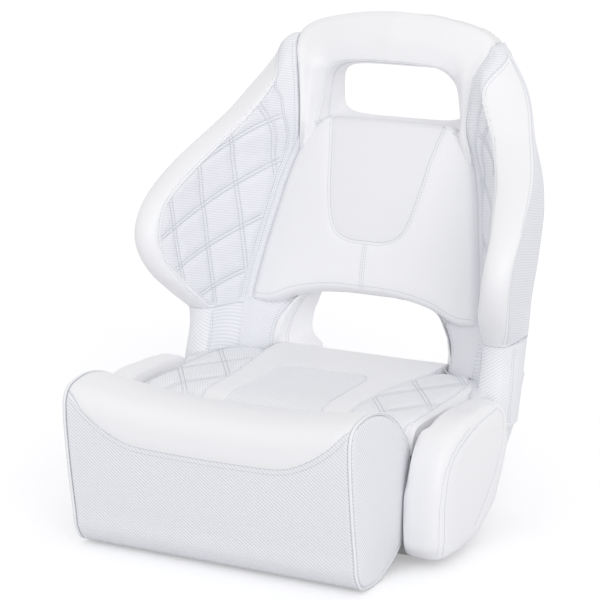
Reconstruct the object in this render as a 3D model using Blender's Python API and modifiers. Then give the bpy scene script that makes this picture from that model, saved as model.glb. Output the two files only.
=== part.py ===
"""Helm bucket seat with a flip-up front bolster, modelled in metres.

+Z is up, the sitter faces -Y and X runs across the seat. The origin is on the underside of the
base, at the middle of its four fixing inserts. Every share below is a part of the driving size
that it is multiplied by, chosen by hand from the seat's outline.
"""

import math

import bmesh
import bpy
from mathutils import Matrix, Vector

# Driving sizes of the whole seat
SEAT_HALF_WIDTH = 0.315
SEAT_HEIGHT = 0.727
BACK_REACH = 0.300
RECLINE_SHARE = 0.819
RECLINE = math.atan2(BACK_REACH * RECLINE_SHARE, SEAT_HEIGHT)
FIT_GAP = 0.0003
OVERRUN = 0.02

# Base
BASE_HALF_WIDTH = SEAT_HALF_WIDTH * 0.7295
BASE_FRONT = -0.118
BASE_WALL = 0.006
BASE_DECK = SEAT_HEIGHT * 0.19
BOARD_THICKNESS = 0.012
INSERT_SPACING = 0.127
INSERT_PLATE_CLEARANCE = 0.012
INSERT_PLATE_EDGE = 0.0365
INSERT_PLATE_THICKNESS = 0.006
INSERT_BARREL_RADIUS = 0.0048
INSERT_BORE_RADIUS = 0.0033
INSERT_FLANGE_RADIUS = 0.0095
INSERT_FLANGE_THICKNESS = 0.0015
REAR_COVER_THICKNESS = 0.005
REAR_COVER_JOIN = SEAT_HEIGHT * 0.2586

# Seat cushion
CUSHION_TOP = SEAT_HEIGHT * 0.28
CUSHION_HALF_WIDTH = SEAT_HALF_WIDTH * 0.773
CUSHION_CROWN = 0.0025
CUSHION_DIP = 0.005
CUSHION_REAR = BACK_REACH * 0.715
CUSHION_CORNER = 0.036
CUSHION_CORNER_DROP = 0.022
CUSHION_CORNER_REST_SHARE = 0.96
CUSHION_REAR_LEAN = 0.0095
LEG_INNER_HALF_WIDTH = SEAT_HALF_WIDTH * 0.476
OPENING_FLARE_SHARE = 0.26
OPENING_FLARE_Y = BACK_REACH * 0.6833

# Hinge of the bolster
PIVOT_Y = -0.095
WATERFALL_RADIUS = 0.0395
PIVOT_Z = CUSHION_TOP - WATERFALL_RADIUS
PLATE_THICKNESS = 0.003
EYE_RADIUS = 0.013
BRACKET_LENGTH = 0.100
BRACKET_FOOT_Z = PIVOT_Z - BRACKET_LENGTH
BRACKET_HALF_WIDTH = 0.026
BRACKET_SCREW_DROP = 0.014
BRACKET_SCREW_SPACING = 0.024
ARM_CLEARANCE = 0.0012
PIVOT_BOLT_RADIUS = 0.004
BUSH_WALL = 0.0018
BUSH_FLANGE_RADIUS = 0.0085
BUSH_FLANGE_THICKNESS = 0.0006
WASHER_RADIUS = 0.0085
WASHER_THICKNESS = 0.0015
BOLT_HEAD_RADIUS = 0.0068
BOLT_HEAD_THICKNESS = 0.0045
BOLT_RIM_SHARE = 0.72
NUT_RADIUS = 0.0072
NUT_THICKNESS = 0.006
SCREW_RADIUS = 0.0025
SCREW_HEAD_RADIUS = 0.0048
SCREW_HEAD_THICKNESS = 0.0028
SCREW_RIM_SHARE = 0.7
SCREW_LENGTH = 0.011

# Bolster
BOLSTER_HALF_LENGTH = SEAT_HALF_WIDTH * 0.7095
BOLSTER_DEPTH = 0.196
BOLSTER_HEIGHT = SEAT_HEIGHT * 0.348
BOLSTER_REAR = -0.133
BOLSTER_FRONT = BOLSTER_REAR - BOLSTER_DEPTH
BOLSTER_BOTTOM = 0.002
BOLSTER_DISH = 0.018
BOLSTER_END_ROUND = 0.004
PIPING_RADIUS = 0.0024
PIPING_SINK = 0.0018
END_PANEL_THICKNESS = 0.0064
END_PANEL_EDGE = 0.0015
BOLSTER_BOARD_INSET = 0.0185
BOLSTER_BOARD_HALF_LENGTH = BOLSTER_HALF_LENGTH - BOLSTER_BOARD_INSET
BOLSTER_BOARD_THICKNESS = 0.0117
BOLSTER_BOARD_PROUD = 0.0002
BOLSTER_BOARD_FACE = BOLSTER_REAR + BOLSTER_BOARD_PROUD
BOLSTER_BOARD_LOW = BOLSTER_HEIGHT * 0.178
BOLSTER_BOARD_HIGH = BOLSTER_HEIGHT * 0.573
FLANGE_HEIGHT = 0.044
FLANGE_DROP = 0.028
FLANGE_HIGH = PIVOT_Z - FLANGE_DROP
FLANGE_LOW = FLANGE_HIGH - FLANGE_HEIGHT
FLANGE_REACH = 0.0578
FLANGE_INNER_X = BASE_HALF_WIDTH - FLANGE_REACH
FLANGE_STEP = 0.0006
FLANGE_SCREW_REACH = 0.0418
FLANGE_SCREW_X = BASE_HALF_WIDTH - FLANGE_SCREW_REACH
FLANGE_SCREW_SPACING = 0.024
BUMPER_X = BOLSTER_HALF_LENGTH * 0.537
BUMPER_Z = 0.070
BUMPER_RADIUS = 0.012
BUMPER_TIP_RADIUS = 0.009

# Hip pads at the sides of the base
HINGE_ROOM = 0.0167
HIP_INNER_X = BASE_HALF_WIDTH + HINGE_ROOM
HIP_OUTER_X = SEAT_HALF_WIDTH * 0.9524
HIP_HEIGHT = SEAT_HEIGHT * 0.2834
HIP_FRONT = -0.176
HIP_REAR = BACK_REACH * 0.4133
HIP_LENGTH = HIP_REAR - HIP_FRONT
HIP_BOARD_FRONT = -0.045
HIP_BOARD_REAR = BACK_REACH * 0.24
HIP_BOARD_LOW = 0.012
HIP_BOARD_HIGH = HIP_HEIGHT * 0.607

# Backrest
BACK_FOOT_Y = BACK_REACH * 0.5
PAD_THICKNESS = 0.030
HEADREST_BACK_Y = BACK_REACH * 1.01
LUMBAR_HALF_WIDTH = SEAT_HALF_WIDTH * 0.6222
LUMBAR_HEIGHT = SEAT_HEIGHT * 0.4223
LUMBAR_LOW = SEAT_HEIGHT * 0.0935
LUMBAR_ARCH = 0.032
LUMBAR_CROWN = 0.020
LUMBAR_EDGE = 0.012
ROLL_BULGE = 0.021
WING_SWELL = 0.002
NECK_SWELL = 0.009
WING_HOLLOW_SHARE = 0.05
POST_LOW = -0.010
POST_HIGH = SEAT_HEIGHT * 0.0924
POST_SLANT = 0.024
POST_OUTER_SHARE = 0.985
HEADREST_EDGE = 0.011
SHELL_TRIM = 0.0025
HEADREST_CROWN = 0.004

# The bolster's end outline, as shares of its depth and height, round from the front foot
BOLSTER_OUTLINE_SHARES = [
    (0.342, 0.000), (0.194, 0.030), (0.125, 0.105), (0.097, 0.229), (0.070, 0.350), (0.046, 0.470),
    (0.026, 0.590), (0.010, 0.704), (0.000, 0.818), (0.005, 0.897), (0.036, 0.949), (0.090, 0.978),
    (0.170, 0.993), (0.286, 1.000), (0.403, 0.990), (0.500, 0.972), (0.617, 0.937), (0.710, 0.894),
    (0.786, 0.850), (0.857, 0.794), (0.929, 0.735), (0.964, 0.680), (0.987, 0.600), (1.000, 0.470),
    (0.987, 0.356), (0.959, 0.273), (0.913, 0.194), (0.862, 0.134), (0.776, 0.085), (0.680, 0.050),
    (0.577, 0.022), (0.474, 0.000),
]
# How deep the bolster's top is dished along its half length: place share, depth share
BOLSTER_DISH_SHARES = [
    (0.00, 1.00), (0.27, 0.97), (0.49, 0.81), (0.67, 0.58), (0.83, 0.33), (0.94, 0.11), (1.00, 0.00),
]
BOLSTER_DISH_FROM_SHARE = 0.45

# The seat's back edge in side view: height share of the seat, reach share of the back
REAR_SHARES = [
    (0.200, 0.707), (0.280, 0.760), (0.413, 0.867), (0.550, 0.963), (0.688, 1.050), (0.825, 1.120),
    (0.908, 1.137), (1.000, 1.120),
]
# Wing stations: height share, then width and reach shares of the root, the inner seam, the
# outer seam and the rear corner
WING_SHARES = [
    (0.3603, 0.651, 0.567, 0.733, 0.383, 0.863, 0.360, 0.870, 0.640),
    (0.399, 0.644, 0.597, 0.762, 0.283, 0.911, 0.273, 0.873, 0.653),
    (0.442, 0.632, 0.630, 0.797, 0.180, 0.949, 0.177, 0.876, 0.667),
    (0.481, 0.616, 0.663, 0.829, 0.107, 0.975, 0.113, 0.883, 0.687),
    (0.523, 0.600, 0.697, 0.851, 0.073, 0.994, 0.080, 0.889, 0.710),
    (0.564, 0.581, 0.730, 0.857, 0.083, 1.000, 0.103, 0.892, 0.733),
    (0.607, 0.562, 0.767, 0.851, 0.147, 0.997, 0.190, 0.892, 0.760),
    (0.648, 0.540, 0.803, 0.816, 0.260, 0.978, 0.307, 0.883, 0.780),
    (0.686, 0.511, 0.837, 0.775, 0.393, 0.949, 0.447, 0.870, 0.790),
    (0.725, 0.476, 0.833, 0.721, 0.513, 0.898, 0.597, 0.851, 0.787),
    (0.770, 0.463, 0.810, 0.657, 0.633, 0.829, 0.747, 0.810, 0.820),
    (0.817, 0.470, 0.820, 0.590, 0.710, 0.771, 0.870, 0.762, 0.900),
    (0.856, 0.479, 0.830, 0.552, 0.760, 0.714, 0.947, 0.708, 0.973),
    (0.891, 0.495, 0.847, 0.543, 0.810, 0.657, 0.977, 0.654, 1.003),
    (0.922, 0.527, 0.913, 0.559, 0.893, 0.603, 0.987, 0.600, 1.013),
    (0.938, 0.527, 0.950, 0.535, 0.943, 0.549, 0.983, 0.546, 1.007),
]
# How full the wing's front roll is: height share, share of the greatest bulge
ROLL_SHARES = [
    (0.280, 0.35), (0.360, 0.40), (0.400, 0.75), (0.440, 1.00), (0.600, 1.00), (0.650, 0.80), (0.690, 0.60),
    (0.725, 0.48), (0.770, 0.42), (0.820, 0.38), (0.940, 0.30),
]
# Neck stations below the wing, in the same shares
NECK_SHARES = [
    (0.2813, 0.644, 0.503, 0.733, 0.373, 0.854, 0.350, 0.863, 0.593),
    (0.3230, 0.648, 0.537, 0.733, 0.373, 0.854, 0.350, 0.867, 0.627),
    (0.3599, 0.651, 0.567, 0.733, 0.383, 0.858, 0.357, 0.870, 0.640),
]
# Twill side of the base behind the hip pad: height share, front and rear reach shares, width share
SIDE_COVER_SHARES = [
    (0.069, 0.247, 0.327, 0.810), (0.096, 0.297, 0.405, 0.825), (0.124, 0.347, 0.487, 0.835),
    (0.165, 0.403, 0.567, 0.845), (0.202, 0.433, 0.613, 0.850), (0.234, 0.413, 0.643, 0.853),
    (0.258, 0.383, 0.663, 0.858), (0.280, 0.376, 0.680, 0.863),
]
# The headrest arch from the foot of a leg to the middle of the top: width and height shares of
# its inner edge and reach share there, then the same for its outer edge
HEADREST_SHARES = [
    (0.438, 0.727, 0.855, 0.471, 0.729, 0.833), (0.413, 0.750, 0.863, 0.463, 0.752, 0.817),
    (0.386, 0.773, 0.890, 0.4605, 0.775, 0.812), (0.371, 0.812, 0.907, 0.466, 0.817, 0.820),
    (0.356, 0.846, 0.910, 0.476, 0.856, 0.830), (0.330, 0.866, 0.900, 0.491, 0.891, 0.850),
    (0.298, 0.877, 0.892, 0.523, 0.922, 0.910), (0.262, 0.884, 0.885, 0.519, 0.947, 0.950),
    (0.218, 0.888, 0.880, 0.450, 0.967, 0.968), (0.165, 0.890, 0.875, 0.335, 0.981, 0.968),
    (0.085, 0.891, 0.872, 0.165, 0.993, 0.970), (0.000, 0.891, 0.870, 0.000, 0.997, 0.960),
]
# Front of a post pad: share of its width from the outside, share of its slant
POST_SECTION_SHARES = [(0.00, 0.00), (0.25, 0.12), (0.50, 0.34), (0.78, 0.68), (0.94, 0.90), (1.00, 1.10)]
# The handle hole below the arch and the lower opening: width and height shares of their edges
HANDLE_FOOT_SHARES = [(0.386, 0.743), (0.386, 0.773)]
OPENING_SHARES = [
    (0.460, 0.311), (0.441, 0.340), (0.406, 0.363), (0.349, 0.380), (0.279, 0.391), (0.130, 0.396),
]
# Half width of the lumbar pad up its height: height share, width share
LUMBAR_WIDTH_SHARES = [
    (0.00, 0.985), (0.04, 1.000), (0.15, 0.982), (0.32, 0.942), (0.47, 0.898), (0.62, 0.855),
    (0.74, 0.806), (0.84, 0.750), (0.91, 0.684), (0.96, 0.615), (1.00, 0.530),
]
# Side outline of a hip pad, as shares of its length and height, round from the front foot
HIP_OUTLINE_SHARES = [
    (0.060, 0.020), (0.018, 0.100), (0.002, 0.250), (0.000, 0.450), (0.012, 0.680), (0.052, 0.850),
    (0.130, 0.950), (0.260, 1.000), (0.400, 1.000), (0.550, 0.990), (0.700, 0.985), (0.820, 0.965),
    (0.910, 0.905), (0.975, 0.810), (1.000, 0.700), (0.965, 0.530), (0.900, 0.370), (0.810, 0.220),
    (0.690, 0.120), (0.570, 0.045), (0.460, 0.002), (0.330, 0.000), (0.200, 0.000), (0.120, 0.000),
]
# Rings of a hip pad across its thickness: thickness share, size share
HIP_RING_SHARES = [
    (0.000, 0.930), (0.040, 0.972), (0.140, 0.994), (0.300, 1.000), (0.540, 1.000), (0.740, 0.982),
    (0.880, 0.925), (0.960, 0.810), (1.000, 0.560),
]
# Cushion sections from the middle outwards: width share, front setback share of the waterfall
# radius, rear share, height share of the cushion's side, bottom share of that side
CUSHION_SHARES = [
    (0.000, 0.00, 1.000, 1.000, 0.00), (0.250, 0.00, 1.000, 1.000, 0.00), (0.470, 0.00, 1.000, 1.000, 0.00),
    (0.591, 0.00, 0.995, 1.000, 0.00), (0.606, 0.00, 0.735, 1.000, 0.00), (0.720, 0.00, 0.735, 0.998, 0.00),
    (0.800, 0.00, 0.733, 0.990, 0.00), (0.850, 0.00, 0.690, 0.972, 0.00), (0.885, 0.03, 0.620, 0.948, 0.01),
    (0.915, 0.06, 0.545, 0.905, 0.04), (0.938, 0.14, 0.480, 0.820, 0.12), (0.943, 2.75, 0.465, 0.790, 0.14),
    (0.972, 3.10, 0.400, 0.670, 0.18), (1.000, 3.70, 0.270, 0.480, 0.26),
]

# Seat side outline of the base pan, as shares of its depth behind the front and of the deck height
PAN_REAR = BACK_REACH * 0.685
PAN_DEPTH = PAN_REAR - BASE_FRONT
PAN_FLOOR_SHARE = 0.766
PAN_OUTLINE_SHARES = [
    (0.000, 0.000), (PAN_FLOOR_SHARE, 0.000), (0.806, 0.145), (0.870, 0.377), (0.927, 0.667), (1.000, 1.000), (0.000, 1.000),
]
BASE_REAR_SHARES = [(0.796, 0.000), (0.826, 0.120), (0.893, 0.370), (0.950, 0.660), (1.018, 1.000)]


def catmull(before, here, after, beyond, t):
    """A number on the smooth curve through four numbers, t of the way from the second to the third."""
    return here + 0.5 * t * (
        after - before + t * (2 * before - 5 * here + 4 * after - beyond + t * (3 * (here - after) + beyond - before))
    )


def blend_rows(rows, steps):
    """Rows of numbers read along a smooth curve, with the given steps between each two rows."""
    last = len(rows) - 1
    blended = []
    for i in range(last):
        around = rows[max(i - 1, 0)], rows[i], rows[i + 1], rows[min(i + 2, last)]
        for k in range(steps):
            blended.append([catmull(*values, k / steps) for values in zip(*around)])
    blended.append(list(rows[last]))
    return blended


def read_table(rows, place):
    """The second column of a table at a place in its first column, straight between rows."""
    if place <= rows[0][0]:
        return rows[0][1]
    for low, high in zip(rows, rows[1:]):
        if place <= high[0]:
            return low[1] + (high[1] - low[1]) * (place - low[0]) / (high[0] - low[0])
    return rows[-1][1]


def scaled(rows, *sizes):
    """A table of shares turned into lengths, each column by its own size."""
    return [[share * size for share, size in zip(row, sizes)] for row in rows]


def finish(name, colour, roughness, metallic=0.0):
    """A plain surface material."""
    material = bpy.data.materials.new(name)
    material.use_nodes = True
    shader = material.node_tree.nodes["Principled BSDF"]
    shader.inputs["Base Color"].default_value = (*colour, 1.0)
    shader.inputs["Roughness"].default_value = roughness
    shader.inputs["Metallic"].default_value = metallic
    return material


def clear_scene():
    """Removes the objects of the open file."""
    for thing in list(bpy.data.objects):
        bpy.data.objects.remove(thing, do_unlink=True)


def new_collection(name):
    """A collection linked to the scene."""
    collection = bpy.data.collections.new(name)
    bpy.context.scene.collection.children.link(collection)
    return collection


clear_scene()
PARTS = new_collection("helm_bucket_seat")
CUTTERS = new_collection("cutters")
WHITE_VINYL = finish("white_vinyl", (0.86, 0.86, 0.86), 0.42)
TWILL_VINYL = finish("twill_vinyl", (0.80, 0.81, 0.83), 0.50)
MOULDED_PLASTIC = finish("moulded_plastic", (0.78, 0.78, 0.77), 0.48)
BOARD = finish("board", (0.62, 0.60, 0.56), 0.60)
STAINLESS = finish("stainless", (0.62, 0.62, 0.63), 0.28, 1.0)
NYLON = finish("nylon", (0.75, 0.74, 0.70), 0.45)
RUBBER = finish("rubber", (0.04, 0.04, 0.04), 0.70)
BOLSTER_AXIS = bpy.data.objects.new("bolster_axis", None)
BOLSTER_AXIS.location = (0, PIVOT_Y, PIVOT_Z)
PARTS.objects.link(BOLSTER_AXIS)


def add_object(name, mesh, material, moving=False, cutter=False):
    """Puts a mesh in the scene as a part, a part that turns with the bolster, or a cutter."""
    thing = bpy.data.objects.new(name, mesh)
    if cutter:
        CUTTERS.objects.link(thing)
        thing.hide_render = True
        thing.display_type = "WIRE"
        return thing
    mesh.materials.clear()
    mesh.materials.append(material)
    PARTS.objects.link(thing)
    if moving:
        thing.parent = BOLSTER_AXIS
        thing.matrix_parent_inverse = Matrix.Translation(BOLSTER_AXIS.location).inverted()
    return thing


def smooth_mesh(shape, name):
    """A mesh from a bmesh, facing out and shaded smooth but for its edges."""
    bmesh.ops.recalc_face_normals(shape, faces=shape.faces)
    if shape.calc_volume(signed=True) < 0:
        bmesh.ops.reverse_faces(shape, faces=shape.faces)
    mesh = bpy.data.meshes.new(name)
    shape.to_mesh(mesh)
    shape.free()
    mesh.shade_smooth()
    mesh.set_sharp_from_angle(angle=math.radians(40))
    return mesh


def loft(name, rings, material, closed=False, folded=False, **kind):
    """A skin through rings with equal numbers of points, capped unless the rings close a loop.

    A folded ring is a front row and the same row coming back behind it, so its cap is a strip.
    """
    shape = bmesh.new()
    rows = [[shape.verts.new(point) for point in ring] for ring in rings]
    pairs = list(zip(rows, rows[1:]))
    if closed:
        pairs.append((rows[-1], rows[0]))
    count = len(rings[0])
    for low, high in pairs:
        for k in range(count):
            after = (k + 1) % count
            shape.faces.new((low[k], low[after], high[after], high[k]))
    if folded:
        for row in (rows[0], rows[-1]):
            for k in range(count // 2 - 1):
                shape.faces.new((row[k], row[k + 1], row[count - 2 - k], row[count - 1 - k]))
    elif not closed:
        shape.faces.new(reversed(rows[0]))
        shape.faces.new(rows[-1])
    return add_object(name, smooth_mesh(shape, name), material, **kind)


def flat_outline(name, outlines, half_thickness, matrix, material, **kind):
    """A closed outline, with any holes after it, given an even thickness and stood by a matrix."""
    curve = bpy.data.curves.new(name, "CURVE")
    curve.dimensions = "2D"
    curve.fill_mode = "BOTH"
    curve.extrude = half_thickness
    for outline in outlines:
        spline = curve.splines.new("POLY")
        spline.points.add(len(outline) - 1)
        for point, place in zip(spline.points, outline):
            point.co = (place[0], place[1], 0, 1)
        spline.use_cyclic_u = True
    guide = bpy.data.objects.new(name, curve)
    bpy.context.scene.collection.objects.link(guide)
    depsgraph = bpy.context.evaluated_depsgraph_get()
    mesh = bpy.data.meshes.new_from_object(guide.evaluated_get(depsgraph))
    bpy.data.objects.remove(guide, do_unlink=True)
    shape = bmesh.new()
    shape.from_mesh(mesh)
    bmesh.ops.remove_doubles(shape, verts=shape.verts, dist=0.00001)
    shape.transform(matrix)
    return add_object(name, smooth_mesh(shape, name), material, **kind)


# Outlines drawn as (y, z) and thickened along X, or drawn as (x, z) and thickened along Y
SIDE_VIEW = Matrix(((0, 0, 1, 0), (1, 0, 0, 0), (0, 1, 0, 0), (0, 0, 0, 1)))
FRONT_VIEW = Matrix(((1, 0, 0, 0), (0, 0, -1, 0), (0, 1, 0, 0), (0, 0, 0, 1)))


def side_plate(name, outline, low_x, high_x, material, **kind):
    """A plate with a side view outline between two places across the seat."""
    middle = Matrix.Translation(((low_x + high_x) / 2, 0, 0))
    return flat_outline(name, [outline], abs(high_x - low_x) / 2, middle @ SIDE_VIEW, material, **kind)


def box(name, low, high, material, edge=0.0, **kind):
    """A box between two corners, with bevelled edges where a width is given."""
    low, high = Vector(low), Vector(high)
    shape = bmesh.new()
    bmesh.ops.create_cube(shape, size=1)
    shape.transform(Matrix.Translation((low + high) / 2) @ Matrix.Diagonal((*(high - low), 1)))
    thing = add_object(name, smooth_mesh(shape, name), material, **kind)
    if edge:
        bevel = thing.modifiers.new("edges", "BEVEL")
        bevel.width = edge
        bevel.segments = 2
    return thing


def turned(name, profile, centre, axis, material, **kind):
    """A turned piece: its profile of radius and place along the axis runs from the far end back."""
    mesh = bpy.data.meshes.new(name)
    closed = profile[0][0] > 0
    edges = [(k, k + 1) for k in range(len(profile) - 1)]
    if closed:
        edges.append((len(profile) - 1, 0))
    mesh.from_pydata([(radius, 0, along) for radius, along in profile], edges, [])
    thing = add_object(name, mesh, material, **kind)
    thing.matrix_world = Matrix.Translation(centre) @ Vector((0, 0, 1)).rotation_difference(Vector(axis)).to_matrix().to_4x4()
    screw = thing.modifiers.new("turn", "SCREW")
    screw.steps = screw.render_steps = 20
    screw.use_merge_vertices = True
    screw.merge_threshold = 0.00001
    screw.use_smooth_shade = True
    screw.use_normal_calculate = False
    return thing


def cylinder(name, centre, axis, radius, length, material, sides=20, **kind):
    """A round bar, or a hexagonal one with six sides."""
    shape = bmesh.new()
    bmesh.ops.create_cone(shape, cap_ends=True, segments=sides, radius1=radius, radius2=radius, depth=length)
    turn = Vector((0, 0, 1)).rotation_difference(Vector(axis)).to_matrix().to_4x4()
    shape.transform(Matrix.Translation(centre) @ turn)
    return add_object(name, smooth_mesh(shape, name), material, **kind)


def combine(thing, tool, operation="DIFFERENCE"):
    """Cuts a tool from a part, joins it on, or keeps what both share."""
    boolean = thing.modifiers.new(tool.name, "BOOLEAN")
    boolean.operation = operation
    boolean.object = tool
    boolean.solver = "EXACT"
    return thing


def side_names(stem):
    """Each side of the seat with its node name, right first."""
    return ((1, stem + "_right"), (-1, stem + "_left"))


def back_plane_y(z):
    """The front plane of the backrest at a height."""
    return BACK_FOOT_Y + (z - CUSHION_TOP) * math.tan(RECLINE)


def rear_y(z):
    """The rear surface of the seat at a height."""
    rows = blend_rows(REAR_SHARES, 3)
    return read_table(rows, z / SEAT_HEIGHT) * BACK_REACH


def pad_back_y(z):
    """Where the back pads end and the moulded shell begins at a height."""
    sloped = back_plane_y(z) + PAD_THICKNESS / math.cos(RECLINE)
    return min(sloped, HEADREST_BACK_Y)


def bolster_outline(x):
    """The bolster's outline in side view at a place along it."""
    place = abs(x) / BOLSTER_HALF_LENGTH
    dish = read_table(blend_rows(BOLSTER_DISH_SHARES, 3), place) * BOLSTER_DISH
    outline = []
    for depth, height in BOLSTER_OUTLINE_SHARES:
        rise = max(0.0, (height - BOLSTER_DISH_FROM_SHARE) / (1 - BOLSTER_DISH_FROM_SHARE))
        drop = dish * rise * rise * (3 - 2 * rise)
        outline.append((BOLSTER_FRONT + depth * BOLSTER_DEPTH, BOLSTER_BOTTOM + height * BOLSTER_HEIGHT - drop))
    return outline


def inset(outline, distance):
    """A closed outline moved inwards by a distance, whichever way round it runs."""
    count = len(outline)
    area = sum(outline[k - 1][0] * outline[k][1] - outline[k][0] * outline[k - 1][1] for k in range(count))
    turn = math.copysign(distance, area)
    moved = []
    for k in range(count):
        before, after = Vector(outline[k - 1]), Vector(outline[(k + 1) % count])
        along = (after - before).normalized()
        moved.append((outline[k][0] - along.y * turn, outline[k][1] + along.x * turn))
    return moved


def make_bolster():
    """The flip-up bolster: foam body, end panels, piping and the board that its arms are screwed to."""
    end_place = BOLSTER_HALF_LENGTH - BOLSTER_END_ROUND
    inner_places = [share * end_place for share in (0.0, 0.28, 0.52, 0.72, 0.88, 1.0)]
    half = [(place, 0.0) for place in inner_places]
    half.append((BOLSTER_HALF_LENGTH, BOLSTER_END_ROUND / 2))
    stations = [(-x, sink) for x, sink in reversed(half[1:])] + half
    rings = []
    for x, sink in stations:
        outline = inset(bolster_outline(x), sink) if sink else bolster_outline(x)
        rings.append([(x, y, z) for y, z in outline])
    body = loft("bolster_pad", rings, WHITE_VINYL, moving=True)
    pocket_low = (-BOLSTER_BOARD_HALF_LENGTH - FIT_GAP, BOLSTER_BOARD_FACE - BOLSTER_BOARD_THICKNESS - FIT_GAP,
                  BOLSTER_BOARD_LOW - FIT_GAP)
    pocket_high = (BOLSTER_BOARD_HALF_LENGTH + FIT_GAP, BOLSTER_BOARD_FACE + OVERRUN, BOLSTER_BOARD_HIGH + FIT_GAP)
    combine(body, box("bolster_pocket", pocket_low, pocket_high, None, cutter=True))
    board = box(
        "bolster_board",
        (-BOLSTER_BOARD_HALF_LENGTH, BOLSTER_BOARD_FACE - BOLSTER_BOARD_THICKNESS, BOLSTER_BOARD_LOW),
        (BOLSTER_BOARD_HALF_LENGTH, BOLSTER_BOARD_FACE, BOLSTER_BOARD_HIGH),
        BOARD,
        moving=True,
    )
    outline = bolster_outline(BOLSTER_HALF_LENGTH)
    panel_low = BOLSTER_HALF_LENGTH + FIT_GAP
    piping_x = panel_low + PIPING_RADIUS
    for side, name in side_names("bolster_end_panel"):
        edge = inset(outline, PIPING_SINK + PIPING_RADIUS + FIT_GAP)
        panel = side_plate(name, edge, side * panel_low, side * (panel_low + END_PANEL_THICKNESS), TWILL_VINYL, moving=True)
        bevel = panel.modifiers.new("edges", "BEVEL")
        bevel.width = END_PANEL_EDGE
        bevel.segments = 2
        bevel.limit_method = "ANGLE"
    for side, name in side_names("bolster_piping"):
        route = inset(outline, PIPING_SINK)
        add_tube_ring(name, [(side * piping_x, y, z) for y, z in route], PIPING_RADIUS, WHITE_VINYL)
    return board


def add_tube_ring(name, route, radius, material):
    """A closed tube along a route of points, turning with the bolster."""
    sides = 6
    across = Vector((1, 0, 0))
    rings = []
    for k, place in enumerate(route):
        along = (Vector(route[(k + 1) % len(route)]) - Vector(route[k - 1])).normalized()
        out = along.cross(across)
        turns = [2 * math.pi * j / sides for j in range(sides)]
        rings.append([Vector(place) + (across * math.cos(a) + out * math.sin(a)) * radius for a in turns])
    return loft(name, rings, material, closed=True, moving=True)


def eye_outline(foot, low_angle, high_angle):
    """A strap outline that starts at its foot points and runs round the eye at the pivot."""
    points = list(foot)
    steps = 10
    for k in range(steps + 1):
        angle = low_angle + (high_angle - low_angle) * k / steps
        points.append((PIVOT_Y + EYE_RADIUS * math.cos(angle), PIVOT_Z + EYE_RADIUS * math.sin(angle)))
    return points


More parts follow.
